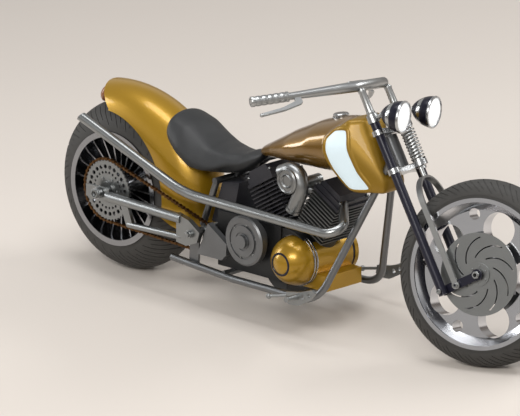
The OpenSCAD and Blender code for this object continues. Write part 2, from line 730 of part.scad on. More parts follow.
module sprung_legs() {
    color([0.62, 0.62, 0.64]) fork() {
        for (s = [-1, 1]) difference() {
            union() {
                translate([bar_o - bar_w / 2, s * bar_y - bar_t / 2, -pivot_t])
                    cube([bar_w, bar_t, pivot_t - arch_t]);
                across(bar_o, s * bar_y - bar_t / 2, s * bar_y + bar_t / 2, -pivot_t, 15);
            }
            across(bar_o, s * bar_y - 20, s * bar_y + 20, -pivot_t, 8);
        }
        translate([bar_o, 0, -arch_t]) rotate([90, 0, 90]) translate([0, 0, -bar_w / 2])
            rotate_extrude(angle = 180) translate([bar_y - bar_t / 2, 0]) square([bar_t, bar_w]);
        translate([bar_o, 0, -arch_t + bar_y - 2]) cylinder(r = 9, h = arch_t - bar_y - low_t - clamp_h + 2);
    }
}
module rockers() {
    color([0.05, 0.05, 0.08]) fork() for (s = [-1, 1]) {
        difference() {
            union() {
                across(leg_o, s * rocker_y - rocker_t / 2, s * rocker_y + rocker_t / 2, -pivot_t, 19);
                across(axle_o, s * rocker_y - rocker_t / 2, s * rocker_y + rocker_t / 2, -axle_t, 21);
                translate([leg_o, s * rocker_y - rocker_t / 2, -pivot_t - 15])
                    cube([axle_o - leg_o, rocker_t, 32]);
            }
            across(axle_o, s * rocker_y - 30, s * rocker_y + 30, -axle_t, axle_r);
        }
        // pins: [forward offset, outer end]
        for (pin = [[leg_o, leg_y + leg_r + 8], [bar_o, bar_y + 10]])
            across(pin[0], s > 0 ? rocker_y : -pin[1], s > 0 ? pin[1] : -rocker_y, -pivot_t, 8);
    }
}
module spring() {
    wire = 4;
    n = 13;
    h = low_t + neck_gap;
    color([0.6, 0.6, 0.6]) fork() translate([bar_o + 5, 0, -low_t]) {
        cylinder(r = coil_r - 2 * wire + 1, h = h);
        for (i = [0:n - 1]) translate([0, 0, wire + i * (h - 2 * wire) / (n - 1)])
            rotate_extrude() translate([coil_r - wire, 0]) circle(r = wire, $fn = 6);
    }
}
module front_axle() {
    e = rocker_y + rocker_t / 2 + 14;
    color([0.75, 0.75, 0.77]) front_hub() difference() {
        across(0, -e, e, 0, axle_r);
        across(0, -e - 1, e + 1, 0, axle_bore_r);
    }
}
module lamp_place() {
    fork() for (s = [-1, 1]) translate([148, s * lamp_y, 27]) rotate([0, rake + 90, 0]) children();
}
module headlamps() {
    // bullet shell: one arc from the back's point to the rim, open for the lens
    deep = 95;
    arc_r = (deep * deep + lamp_r * lamp_r) / (2 * lamp_r);
    color([0.05, 0.05, 0.08]) lamp_place() rotate_extrude() difference() {
        intersection() {
            translate([lamp_r - arc_r, 0]) circle(r = arc_r);
            translate([0, -deep]) square([lamp_r + 1, deep]);
        }
        translate([0, -12]) square([lamp_r - 5, 13]);
    }
}
module lamp_lenses() {
    lens_r = lamp_r - 5 - seat_gap;
    bulge = 14;
    ball = (lens_r * lens_r + bulge * bulge) / (2 * bulge);
    color([0.95, 0.95, 0.95]) lamp_place() rotate_extrude() {
        translate([0, -12]) square([lens_r, 12]);
        intersection() {
            translate([0, bulge - ball]) circle(r = ball);
            translate([0, -1]) square([lens_r, bulge + 2]);
        }
    }
}
module risers() {
    color([0.6, 0.6, 0.62]) fork() for (s = [-1, 1]) {
        translate([leg_o, s * leg_y, -leg_top]) cylinder(r = 11, h = leg_top - riser_t - hbar_r + 2);
        translate([leg_o, s * leg_y, 56]) difference() {
            cylinder(r = leg_r + 5, h = -leg_top - 56 + 6);
            translate([0, 0, -1]) cylinder(r = leg_r, h = -leg_top - 56 + 1);
        }
        rod([leg_o + leg_r + 1, s * leg_y, 68], [76, s * (lamp_y - 4), 72], 9);
    }
}
module handlebar() {
    out = bar_end - bar_bend;
    color([0.7, 0.7, 0.72]) fork() difference() {
        tube([side(bar_end, -1), side(bar_bend, -1), bar_bend, bar_end], hbar_r, [70, 70]);
        for (s = [-1, 1]) rod(side(bar_bend + out * 0.8, s), side(bar_bend + out * 1.05, s), bar_bore_r);
    }
}
module grips() {
    color([0.6, 0.6, 0.62]) fork() for (s = [-1, 1]) {
        p = side(bar_bend, s);
        q = side(bar_end, s);
        difference() {
            rod(q + (p - q) * 0.34, q, hbar_r + 5);
            rod(q + (p - q) * 0.4, q - (p - q) * 0.1, hbar_r);
        }
    }
}
module levers() {
    // flat blades, drawn forward of the bar and along it, then dropped towards the fingers
    long = norm(bar_end - bar_bend);
    perch = 0.58 * long;
    drop = 60;
    color([0.6, 0.6, 0.62]) fork() for (s = [-1, 1]) toward(side(bar_bend, s), side(bar_end, s))
        rotate([0, 0, s > 0 ? 180 + drop : -drop]) rotate([90, 0, 90]) translate([0, 0, -4.5]) {
            linear_extrude(9) polygon([[0, perch - 14], [0, perch + 12], [30, perch + 12], [52, perch + 70],
                [66, long - 22], [78, long - 18], [66, perch + 66], [46, perch - 6], [38, perch - 14]]);
            translate([72, long - 20, 4.5]) sphere(r = 8);
        }
}
module front_rim() {
    // disc half thickness, and where it starts to flare out to the flanges
    web = 34;
    flare_r = front_seat - 38;
    color([0.8, 0.8, 0.82]) front_hub() rotate([0, front_turn, 0]) difference() {
        union() {
            rim_ring(front_rim_r, front_seat, front_half, 8);
            about_y() rotate_extrude($fn = 96) polygon([[20, -web], [flare_r, -web],
                [front_seat - 6, -front_half], [front_seat - 6, front_half], [flare_r, web], [20, web]]);
            across(0, -front_half + 6, front_half - 6, 0, 48);
        }
        across(0, -80, 80, 0, axle_r + pin_gap);
        // rows of round holes: [distance out, radius, share of a step turned]
        for (row = [[flare_r - 58, 64, 0.5], [flare_r - 14, 22, 0.08]]) for (i = [0:front_holes - 1])
            rotate([0, (i + row[2]) * 360 / front_holes, 0]) across(0, -80, 80, row[0], row[1]);
    }
}
module front_disc() {
    y = front_half + 2;
    slot_r = 0.577 * front_disc_r;
    color([0.45, 0.46, 0.46]) front_hub() difference() {
        union() {
            across(0, -y - 5, -y, 0, front_disc_r);
            across(0, -y - 9, -front_half + 6, 0, 44);
        }
        across(0, -y - 20, 0, 0, axle_r + pin_gap);
        for (i = [0:disc_slots - 1]) rotate([0, i * 360 / disc_slots, 0])
            translate([0.015 * front_disc_r, 1 - y, -0.421 * front_disc_r])
                rotate([90, 0, 0]) rotate([0, 0, -35]) rotate_extrude(angle = 82)
                    translate([slot_r - 2.5, 0]) square([5, 7]);
    }
}

neck_frame_tube();
cradle_right();
cradle_left();
frame_braces();
swingarm_pivot();
swingarm_right();
swingarm_left();
rear_axle();
rear_rim();
rear_tyre();
rear_sprocket();
rear_disc();
rear_caliper();
chain();
side_covers();
crankcase();
drum();
front_cylinder();
front_head();
rear_cylinder();
air_cleaner();
exhaust();
oil_box();
rear_fender();
tail_lamp();
seat();
fuel_tank();
tank_nose();
tank_panels();
side_stand();
control_right();
control_left();
stem();
fork_legs();
sprung_legs();
rockers();
spring();
front_axle();
headlamps();
lamp_lenses();
risers();
handlebar();
grips();
levers();
front_rim();
front_tyre();
front_disc();
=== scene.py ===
"""Dresses a long, low custom motorcycle: paint, metal, leather, treaded tyres, links and bolts."""

import json
import math

import bmesh
import bpy
import numpy as np
from mathutils import Matrix, Vector


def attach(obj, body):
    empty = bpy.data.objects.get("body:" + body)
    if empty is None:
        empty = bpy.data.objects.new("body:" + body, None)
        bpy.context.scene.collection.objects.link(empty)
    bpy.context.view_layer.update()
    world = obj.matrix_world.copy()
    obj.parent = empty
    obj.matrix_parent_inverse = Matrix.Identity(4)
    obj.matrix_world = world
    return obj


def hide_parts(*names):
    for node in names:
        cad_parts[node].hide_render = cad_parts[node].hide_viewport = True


bl_info = {
    "name": "Motorcycle dressing",
    "version": (1, 0, 0),
    "blender": (4, 5, 0),
    "location": "View3D > Sidebar > Motorcycle",
    "description": "Models the trim and finishes of a parked custom motorcycle on its packed solids",
    "category": "Object",
}

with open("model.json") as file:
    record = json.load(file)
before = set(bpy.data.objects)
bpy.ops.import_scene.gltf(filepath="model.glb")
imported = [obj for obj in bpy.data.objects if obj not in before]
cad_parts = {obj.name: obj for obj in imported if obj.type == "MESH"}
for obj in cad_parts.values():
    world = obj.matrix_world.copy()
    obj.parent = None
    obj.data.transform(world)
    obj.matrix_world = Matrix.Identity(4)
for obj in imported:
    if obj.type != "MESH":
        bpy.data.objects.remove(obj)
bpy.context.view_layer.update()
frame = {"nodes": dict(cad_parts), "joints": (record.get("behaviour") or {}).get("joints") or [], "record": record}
JOINTS = {joint["name"]: joint for joint in frame["joints"]}


def hinge(name):
    """A joint's point and its unit axis, in the shared frame."""
    return Vector(JOINTS[name]["pos_m"]), Vector(JOINTS[name]["axis"]).normalized()


# Bike frame: forward, left and up, with heights counted from the ground under the rear axle
RAKE = math.radians(31)
REAR_AXLE_HEIGHT = 0.3291
REAR_AXLE, LEFT = hinge("rear_wheel_spin")
NECK, RISE = hinge("steering_turn")
FRONT_AXLE, FORK_LEFT = hinge("front_wheel_spin")
NECK_FORWARD = LEFT.cross(RISE).normalized()
FORWARD = NECK_FORWARD * math.cos(RAKE) - RISE * math.sin(RAKE)
UP = NECK_FORWARD * math.sin(RAKE) + RISE * math.cos(RAKE)
FORK_FORWARD = FORK_LEFT.cross(RISE).normalized()
LAMP_AXIS = FORK_FORWARD * math.cos(RAKE) - RISE * math.sin(RAKE)

SIDES = (-1, 1)

# Sizes that the solids also have, in metres; places are forward, left and up
FRONT_TYRE = {"crown": 0.350, "half": 0.060, "seat": 0.276}
REAR_TYRE = {"crown": 0.328, "half": 0.113, "seat": 0.214}
FORK_LEG_AHEAD = 0.020
FORK_LEG_SIDE = 0.110
AXLE_DROP = 0.6165
AXLE_AHEAD = 0.165
LAMP_RADIUS = 0.060
LAMP_PLACE = (0.148, 0.131, 0.027)
BAR_BEND = (0.015, 0.112, 0.205)
BAR_TIP = (-0.273, 0.420, 0.283)
GRIP_LENGTH = 0.1501
SPRING = {"ahead": 0.080, "low": -0.130, "high": 0.005, "radius": 0.028, "turns": 10}
DRUM_RADIUS = 0.095
DRUM_MIDDLE = (0.954, -0.015, 0.241)
CRANK = (0.918, 0.0, 0.207)
BANK_LEAN = math.radians(30)
HEAD_REACH = 0.369
DRIVE_AHEAD = 0.548
DRIVE_HEIGHT = 0.240
CHAIN_SIDE = -0.140
CHAIN_PITCH = 0.019
REAR_PITCH_RADIUS = 0.122
FRONT_PITCH_RADIUS = 0.055


def bike(x, y, z):
    """A point given forward of the rear axle, left of the middle and above the ground."""
    return REAR_AXLE + FORWARD * x + LEFT * y + UP * (z - REAR_AXLE_HEIGHT)


def fork(ahead, side, rise):
    """A point given from the neck's top in the steered fork's own directions."""
    return NECK + FORK_FORWARD * ahead + FORK_LEFT * side + RISE * rise


def fork_pair(ahead, side, rise):
    """The same point on the fork's right and on its left."""
    return [fork(ahead, s * side, rise) for s in SIDES]


def aim(origin, direction, forward=None):
    """Matrix that stands a piece's own Z axis along a direction."""
    z = direction.normalized()
    x = (forward or z.orthogonal()).copy()
    x = (x - z * x.dot(z)).normalized()
    turned = Matrix((x, z.cross(x), z)).transposed().to_4x4()
    turned.translation = origin
    return turned


class Value:
    """A socket of a finish, so that shader maths reads as plain expressions."""

    def __init__(self, finish, socket):
        self.finish = finish
        self.socket = socket

    def maths(self, operation, first, second):
        return self.finish.node("ShaderNodeMath", {"operation": operation}, {0: first, 1: second})

    def __add__(self, other):
        return self.maths("ADD", self, other)

    def __sub__(self, other):
        return self.maths("SUBTRACT", self, other)

    def __rsub__(self, other):
        return self.maths("SUBTRACT", other, self)

    def __mul__(self, other):
        return self.maths("MULTIPLY", self, other)


class Finish:
    """A procedural material: one shader, and the nodes that feed it."""

    def __init__(self, name):
        self.material = bpy.data.materials.new(name)
        self.material.use_nodes = True
        self.tree = self.material.node_tree
        self.tree.nodes.clear()
        self.shader = self.tree.nodes.new("ShaderNodeBsdfPrincipled")
        output = self.tree.nodes.new("ShaderNodeOutputMaterial")
        self.tree.links.new(self.shader.outputs[0], output.inputs[0])
        self.where = self.node("ShaderNodeTexCoord", output=3)

    def fill(self, socket, value):
        if isinstance(value, Value):
            self.tree.links.new(value.socket, socket)
        else:
            socket.default_value = value

    def node(self, kind, settings=None, inputs=None, output=0):
        made = self.tree.nodes.new(kind)
        for key, value in (settings or {}).items():
            setattr(made, key, value)
        for key, value in (inputs or {}).items():
            self.fill(made.inputs[key], value)
        return Value(self, made.outputs[output])

    def noise(self, scale, detail):
        inputs = {"Vector": self.where, "Scale": scale, "Detail": detail}
        return self.node("ShaderNodeTexNoise", None, inputs)

    def cells(self, scale, feature="F1"):
        inputs = {"Vector": self.where, "Scale": scale}
        return self.node("ShaderNodeTexVoronoi", {"feature": feature}, inputs)

    def mix(self, share, first, second):
        return self.node("ShaderNodeMix", {"data_type": "RGBA"}, {0: share, 6: first, 7: second}, 2)

    def step(self, value, low, high):
        settings = {"interpolation_type": "SMOOTHSTEP"}
        return self.node("ShaderNodeMapRange", settings, {0: value, 1: low, 2: high})

    def along(self, point, direction):
        """Distance along a direction from a point."""
        dot = self.node("ShaderNodeVectorMath", {"operation": "DOT_PRODUCT"},
                        {0: self.where, 1: direction}, 1)
        return dot - point.dot(direction)

    def attribute(self, name):
        return self.node("ShaderNodeAttribute", {"attribute_name": name}, output=2)

    def bump(self, height, strength, distance):
        inputs = {"Strength": strength, "Distance": distance, "Height": height}
        return self.node("ShaderNodeBump", None, inputs)

    def surface(self, **inputs):
        for key, value in inputs.items():
            self.fill(self.shader.inputs[key.replace("_", " ")], value)
        return self.material


def darker(colour, share):
    """A share of a colour."""
    return tuple(part * share for part in colour)


def tint(colour, share=1.0):
    """A share of a colour, with its alpha."""
    return darker(colour, share) + (1.0,)


def metal(name, colour, rough, grain=0.1, cloud_scale=14.0, dull=0.8):
    """Bare or plated metal: soft clouds in its tone, and fine grain in its sheen."""
    finish = Finish(name)
    clouds = finish.noise(cloud_scale, 4.0)
    grains = finish.noise(1400.0, 2.0)
    return finish.surface(
        Base_Color=finish.mix(clouds, tint(colour, dull), tint(colour)), Metallic=1.0,
        Roughness=clouds * 0.06 + grains * 0.04 + (rough - 0.05),
        Normal=finish.bump(grains, grain, 0.0002))


def cast(name, colour, rough):
    """Sand-cast alloy with a pebbled skin and darker clouds in its tone."""
    finish = Finish(name)
    pebbles = finish.noise(520.0, 3.0)
    clouds = finish.noise(11.0, 4.0)
    return finish.surface(
        Base_Color=finish.mix(clouds, tint(colour, 0.7), tint(colour)), Metallic=0.85,
        Roughness=clouds * 0.15 + (rough - 0.07), Normal=finish.bump(pebbles, 0.25, 0.0006))


def turned_metal(name, colour, hub, axle, rough):
    """Machined disc: fine rings round an axle."""
    finish = Finish(name)
    offset = finish.node("ShaderNodeVectorMath", {"operation": "SUBTRACT"}, {0: finish.where, 1: hub})
    flat = finish.node("ShaderNodeVectorMath", {"operation": "CROSS_PRODUCT"}, {0: offset, 1: axle})
    radius = finish.node("ShaderNodeVectorMath", {"operation": "LENGTH"}, {0: flat}, 1)
    rings = finish.node("ShaderNodeTexNoise", {"noise_dimensions": "1D"}, {"W": radius, "Scale": 700.0})
    clouds = finish.noise(18.0, 3.0)
    return finish.surface(
        Base_Color=finish.mix(rings, tint(colour, 0.75), tint(colour)), Metallic=1.0,
        Roughness=rings * 0.16 + clouds * 0.08 + (rough - 0.12), Normal=finish.bump(rings, 0.18, 0.0003))


def lacquer(name, deep, bright):
    """Metallic paint under clear lacquer: tiny flakes, slow drift of tone."""
    finish = Finish(name)
    flakes = finish.cells(2600.0)
    drift = finish.noise(5.0, 2.0)
    return finish.surface(
        Base_Color=finish.mix(drift * 0.7 + flakes * 0.4, tint(deep), tint(bright)), Metallic=0.5,
        Roughness=flakes * 0.12 + 0.26, Coat_Weight=0.35, Coat_Roughness=0.1,
        Normal=finish.bump(flakes, 0.025, 0.0002))


def gloss_black(name, colour, rough):
    """Deep enamel with faint dust in its sheen."""
    finish = Finish(name)
    dust = finish.noise(60.0, 5.0)
    return finish.surface(
        Base_Color=finish.mix(dust, tint(colour), tint(colour, 1.6)), Metallic=0.1,
        Roughness=dust * 0.1 + (rough - 0.05), Specular_IOR_Level=0.3, Coat_Weight=0.1)


def rubber(name, colour):
    """Tyre rubber: matt, with pale scuffs and fine pitting."""
    finish = Finish(name)
    scuffs = finish.noise(26.0, 6.0)
    pits = finish.noise(900.0, 3.0)
    return finish.surface(
        Base_Color=finish.mix(scuffs, tint(colour, 0.62), tint(colour, 1.25)), Metallic=0.0,
        Roughness=scuffs * 0.2 + 0.55, Normal=finish.bump(pits, 0.2, 0.0004))


def leather(name, colour):
    """Leather: creased cells, darker in their creases as painted shade, with worn patches in its tone and sheen.
    """
    finish = Finish(name)
    creases = finish.cells(330.0, "DISTANCE_TO_EDGE")
    pores = finish.noise(900.0, 2.0)
    wear = finish.noise(9.0, 4.0)
    # grain is low along the crease lines: it sinks them in, and it darkens their colour there as painted shade
    grain = finish.step(creases, 0.0, 0.16)
    return finish.surface(
        Base_Color=finish.mix(wear * 0.7 + grain * 0.3, tint(colour, 0.72), tint(colour, 1.3)),
        Roughness=wear * 0.16 - grain * 0.06 + 0.42,
        Normal=finish.bump(grain + pores * 0.3, 0.35, 0.0005))


def lens_glass(name, colour, painted_glow):
    """Lens with upright flutes, brightened with a faint painted glow."""
    finish = Finish(name)
    across = finish.along(NECK, FORK_LEFT)
    flutes = finish.node("ShaderNodeMath", {"operation": "SINE"}, {0: across * 900.0})
    haze = finish.noise(40.0, 3.0)
    # The emission is a painted glow that brightens the lens
    return finish.surface(
        Base_Color=finish.mix(haze, tint(colour, 0.9), tint(colour)), Roughness=haze * 0.1 + 0.08,
        Coat_Weight=0.6, Emission_Color=finish.mix(haze, tint(colour, 0.85), tint(colour)),
        Emission_Strength=painted_glow, Normal=finish.bump(flutes, 0.2, 0.0005))


def tank_paint(name, colours):
    """Three lacquers on one skin: copper, the gold nose and the pale panel, by their outlines; the nose's gold is
    a darker copy as painted shade.
    """
    finish = Finish(name)
    flakes = finish.cells(2600.0)
    drift = finish.noise(5.0, 2.0)
    nose = 1.0 - finish.step(finish.attribute("nose_edge"), -0.0006, 0.0006)
    panel = 1.0 - finish.step(finish.attribute("panel_edge"), -0.0006, 0.0006)
    copper = finish.mix(drift * 0.8 + flakes * 0.3, tint(colours.copper, 0.62), tint(colours.copper))
    # Painted shade: the nose takes a darker copy of the fender's gold, to tone down the light falling on it
    gold = finish.mix(drift * 0.7 + flakes * 0.4, tint(colours.gold, 0.5), tint(colours.gold, 0.75))
    pale = finish.mix(drift, tint(colours.panel, 0.93), tint(colours.panel))
    return finish.surface(
        Base_Color=finish.mix(panel, finish.mix(nose, copper, gold), pale),
        Metallic=0.6 - nose * 0.15 - panel * 0.45, Roughness=flakes * 0.1 + nose * 0.14 + 0.22,
        Coat_Weight=0.9 - nose * 0.7, Coat_Roughness=0.05, Normal=finish.bump(flakes, 0.02, 0.0002))


def lamp_shell(name, colours):
    """Lamp shell: black enamel with one silver band round it."""
    finish = Finish(name)
    ahead, side, rise = LAMP_PLACE
    depth = finish.along(fork(ahead, 0.0, rise), LAMP_AXIS)
    behind, before = finish.step(depth, -0.0545, -0.0535), finish.step(depth, -0.0365, -0.0355)
    black = 1.0 - behind * (1.0 - before)
    dust = finish.noise(60.0, 5.0)
    return finish.surface(
        Base_Color=finish.mix(black, tint(colours.silver), tint(colours.black)),
        Metallic=1.0 - black * 0.9, Roughness=dust * 0.1 + black * 0.1 + 0.16, Specular_IOR_Level=0.3)


def floor_paint(name, colour):
    """Plain pale studio floor with a faint drift of tone."""
    finish = Finish(name)
    drift = finish.noise(0.7, 2.0)
    return finish.surface(
        Base_Color=finish.mix(drift, tint(colour, 0.97), tint(colour)), Roughness=drift * 0.1 + 0.7)


def colour(name, description, default):
    return bpy.props.FloatVectorProperty(
        name=name, description=description, default=default, size=3, min=0.0, max=1.0, subtype="COLOR")


def length(name, description, default):
    return bpy.props.FloatProperty(
        name=name, description=description, default=default, min=0.0, unit="LENGTH")


class MotorcycleColours(bpy.types.PropertyGroup):
    """Tones of the paints, metals and covers"""
    gold: colour("Gold", "Fender, drum and nose of the tank", (0.40, 0.225, 0.009))
    copper: colour("Copper", "Rear of the tank", (0.230, 0.118, 0.012))
    panel: colour("Panel", "Pale panels let into the tank's nose", (0.72, 0.86, 0.93))
    black: colour("Black", "Fork legs, lamp shells and the drum's rings", (0.008, 0.008, 0.016))
    engine: colour("Engine", "Blacked engine castings", (0.018, 0.018, 0.022))
    silver: colour("Silver", "Satin fittings", (0.43, 0.44, 0.44))
    chrome: colour("Chrome", "Plated fittings and axles", (0.50, 0.51, 0.52))
    rim: colour("Rim", "Polished wheels", (0.66, 0.67, 0.70))
    steel: colour("Steel", "Discs, arms and pipes", (0.31, 0.32, 0.32))
    frame_grey: colour("Frame grey", "Frame tubes", (0.20, 0.205, 0.21))
    chain: colour("Chain", "Chain plates and rollers", (0.15, 0.075, 0.028))
    rubber: colour("Rubber", "Tyres", (0.034, 0.0325, 0.030))
    leather: colour("Leather", "Seat cover", (0.012, 0.013, 0.014))
    red: colour("Red lens", "Smoked tail lamp", (0.23, 0.085, 0.03))
    lens: colour("Lens", "Headlamp lenses", (0.90, 0.93, 0.95))
    floor: colour("Floor", "Studio floor", (0.62, 0.57, 0.52))


class MotorcycleSizes(bpy.types.PropertyGroup):
    """Sizes of the shaped pieces"""
    tread_depth: length("Tread depth", "How deep the tread grooves are", 0.0025)
    skin: length("Skin", "Voxel of the tank's and the seat's smooth skins", 0.004)
    panel_depth: length("Panel depth", "How far the pale panels lie below the nose", 0.0020)
    rim_height: length("Rim height", "How far the rims round the pale panels stand up", 0.0030)
    swell: length("Swell", "Most that the seat's padding may swell", 0.008)
    lip_drop: length("Lip drop", "How far the padding hangs over the fender's sides", 0.020)
    lip_out: length("Lip out", "How far the padding stands out over the fender's sides", 0.006)
    bar_middle: length("Bar middle", "Radius of the handlebar at its clamps", 0.0205)
    bar_end: length("Bar end", "Radius of the handlebar in its grips", 0.013)
    spring_wire: length("Spring wire", "Radius of the fork spring's wire", 0.0042)


def colours():
    return bpy.context.scene.motorcycle_colours


def sizes():
    return bpy.context.scene.motorcycle_sizes


def clear_selection():
    if bpy.context.object and bpy.context.object.mode != "OBJECT":
        bpy.ops.object.mode_set(mode="OBJECT")
    bpy.ops.object.select_all(action="DESELECT")


def select_only(*pieces):
    """Selects some pieces and makes the first one active."""
    clear_selection()
    for piece in pieces:
        piece.select_set(True)
    bpy.context.view_layer.objects.active = pieces[0]


def start(kind, **settings):
    """Adds a primitive, applies its place and opens it for editing, all selected."""
    clear_selection()
    getattr(bpy.ops.mesh, "primitive_" + kind + "_add")(**settings)
    bpy.ops.object.transform_apply(location=True, rotation=True, scale=True)
    bpy.ops.object.mode_set(mode="EDIT")
    bpy.ops.mesh.select_all(action="SELECT")
    return bpy.context.object


def pick_faces(piece, test):
    """Selects the faces whose centre and normal pass a test."""
    bpy.ops.mesh.select_mode(type="FACE")
    bpy.ops.mesh.select_all(action="DESELECT")
    mesh = bmesh.from_edit_mesh(piece.data)
    for face in mesh.faces:
        face.select = bool(test(face.calc_center_median(), face.normal))
    mesh.select_flush_mode()
    bmesh.update_edit_mesh(piece.data)


def pick_edges(piece, test):
    """Selects the edges whose two ends pass a test."""
    bpy.ops.mesh.select_mode(type="EDGE")
    bpy.ops.mesh.select_all(action="DESELECT")
    mesh = bmesh.from_edit_mesh(piece.data)
    for edge in mesh.edges:
        edge.select = bool(test(edge.verts[0].co, edge.verts[1].co))
    mesh.select_flush_mode()
    bmesh.update_edit_mesh(piece.data)


def tidy_mesh():
    """Merges doubles and turns every face outwards, then leaves edit mode."""
    bpy.ops.mesh.select_all(action="SELECT")
    bpy.ops.mesh.remove_doubles(threshold=1e-6)
    bpy.ops.mesh.normals_make_consistent(inside=False)
    bpy.ops.object.mode_set(mode="OBJECT")


def apply_modifier(piece, name, kind, **settings):
    modifier = piece.modifiers.new(name, kind)
    for key, value in settings.items():
        setattr(modifier, key, value)
    select_only(piece)
    bpy.ops.object.modifier_apply(modifier=name)


def soften(piece, width):
    apply_modifier(piece, "Soft edges", "BEVEL", width=width, segments=2,
                   limit_method="ANGLE", angle_limit=math.radians(35.0))


def shade(piece, angle=35.0):
    select_only(piece)
    bpy.ops.object.shade_smooth_by_angle(angle=math.radians(angle))


def join(pieces):
    select_only(*pieces)
    if len(pieces) > 1:
        bpy.ops.object.join()
    return pieces[0]


def stamp(model, places):
    """Copies a model to each place, each copy with its own mesh, and removes the model."""
    copies = []
    for place in places:
        copy = model.copy()
        copy.data = model.data.copy()
        bpy.context.scene.collection.objects.link(copy)
        copy.data.transform(place)
        copies.append(copy)
    bpy.data.objects.remove(model)
    return copies


def hand_over(piece, name, body, slot, *replaced, finish=None):
    """Names a piece, gives it its slot's finish or its own, and seats it on its body."""
    piece.name = name
    piece.data.name = name
    piece.data.materials.clear()
    piece.data.materials.append(finish or finish_for(slot))
    shade(piece)
    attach(piece, body)
    if replaced:
        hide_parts(*replaced)
    return piece


def lathe(stations, sides, ring=False):
    """Turns a piece up its Z axis: each station, a height and a radius, is extruded and scaled."""
    height, radius = stations[0]
    piece = start("circle", vertices=sides, radius=radius, location=(0, 0, height),
                  fill_type="NOTHING" if ring else "NGON")
    for next_height, next_radius in stations[1:] + (stations[:1] if ring else []):
        rise = (0, 0, next_height - height)
        bpy.ops.mesh.extrude_region_move(TRANSFORM_OT_translate={"value": rise})
        grown = next_radius / radius
        bpy.ops.transform.resize(value=(grown, grown, 1))
        height, radius = next_height, next_radius
    tidy_mesh()
    return piece


# The finish of each material slot
FINISH_OF = {
    "frame_steel": lambda c: metal("Satin frame grey", c.frame_grey, 0.4, 0.05),
    "arm_steel": lambda c: metal("Brushed arm", c.steel, 0.36, 0.06),
    "bright_metal": lambda c: metal("Bright plating", c.chrome, 0.24, 0.02),
    "polished_rim": lambda c: metal("Polished rim", c.rim, 0.12, 0.02, 8.0),
    "cast_metal": lambda c: cast("Cast fitting", c.steel, 0.42),
    "chain_steel": lambda c: metal("Oiled chain", c.chain, 0.38, 0.2, 160.0, 0.45),
    "cover_grey": lambda c: cast("Satin cover", c.frame_grey, 0.42),
    "gold_paint": lambda c: lacquer("Gold lacquer", darker(c.gold, 0.8), c.gold),
    "cylinder_grey": lambda c: cast("Cylinder", darker(c.steel, 0.5), 0.45),
    "engine_black": lambda c: gloss_black("Engine black", c.engine, 0.38),
    "satin_silver": lambda c: metal("Satin silver", c.silver, 0.33, 0.03),
    "pipe_metal": lambda c: metal("Exhaust pipe", c.steel, 0.3, 0.08),
    # Each lens's last number is the strength of its painted glow
    "red_lens": lambda c: lens_glass("Red lens", c.red, 0.05),
    "copper_paint": lambda c: lacquer("Copper lacquer", darker(c.copper, 0.7), c.copper),
    "black_gloss": lambda c: gloss_black("Black enamel", c.black, 0.34),
    "lens": lambda c: lens_glass("Headlamp lens", c.lens, 0.5),
    "panel_blue": lambda c: lacquer("Panel lacquer", darker(c.panel, 0.95), c.panel),
    "tyre": lambda c: rubber("Tyre rubber", c.rubber),
    "seat_cover": lambda c: leather("Seat leather", c.leather),
}


# The solids with a finish of their own
NODE_FINISH = {
    "front_disc": lambda c: turned_metal("Disc steel front_disc", c.steel, FRONT_AXLE, FORK_LEFT, 0.34),
    "rear_disc": lambda c: turned_metal("Disc steel rear_disc", c.steel, REAR_AXLE, LEFT, 0.34),
    "rear_sprocket": lambda c: turned_metal("Disc steel rear_sprocket", c.steel, REAR_AXLE, LEFT, 0.34),
    "headlamps": lambda c: lamp_shell("Lamp shell", c),
    "crankcase": lambda c: cast("Dark crankcase", darker(c.frame_grey, 0.28), 0.45),
    "rear_rim": lambda c: metal("Rear wheel metal", darker(c.rim, 0.5), 0.2, 0.02, 8.0),
    "air_cleaner": lambda c: metal("Air cleaner metal", darker(c.silver, 0.65), 0.34, 0.03),
}


def finish_for(slot):
    """The finish of a material slot, made once."""
    key = "slot " + slot
    if key not in bpy.data.materials:
        FINISH_OF[slot](colours()).name = key
    return bpy.data.materials[key]


class MOTORCYCLE_OT_finishes(bpy.types.Operator):
    """Gives every solid its finish"""
    bl_idname = "motorcycle.finishes"
    bl_label = "Finishes"

    def execute(self, context):
        slot_of = {part["node"]: part["material_slot"] for part in frame["record"]["subparts"]}
        for node, solid in frame["nodes"].items():
            own = NODE_FINISH.get(node)
            finish = own(colours()) if own else finish_for(slot_of[node])
            solid.data.materials.clear()
            solid.data.materials.append(finish)
        return {"FINISHED"}


# Where long and short grooves and the line on the wall lie, in degrees round the section from its crown
LONG_GROOVE = (4, 74)
SHORT_GROOVE = (30, 66)
WALL_LINE = (84, 92)
WALL_LINE_DEPTH = 0.0012

# Grooves round each tyre, columns to a groove, and how far a groove runs round the wheel, in radians
FRONT_TREAD = {"grooves": 40, "cells": 12, "sweep": 0.24}
REAR_TREAD = {"grooves": 34, "cells": 14, "sweep": 0.34}


def press_in(depth):
    """Pushes the selected faces in, with walls round them."""
    bpy.ops.mesh.extrude_region_shrink_fatten(TRANSFORM_OT_shrink_fatten={"value": -depth})


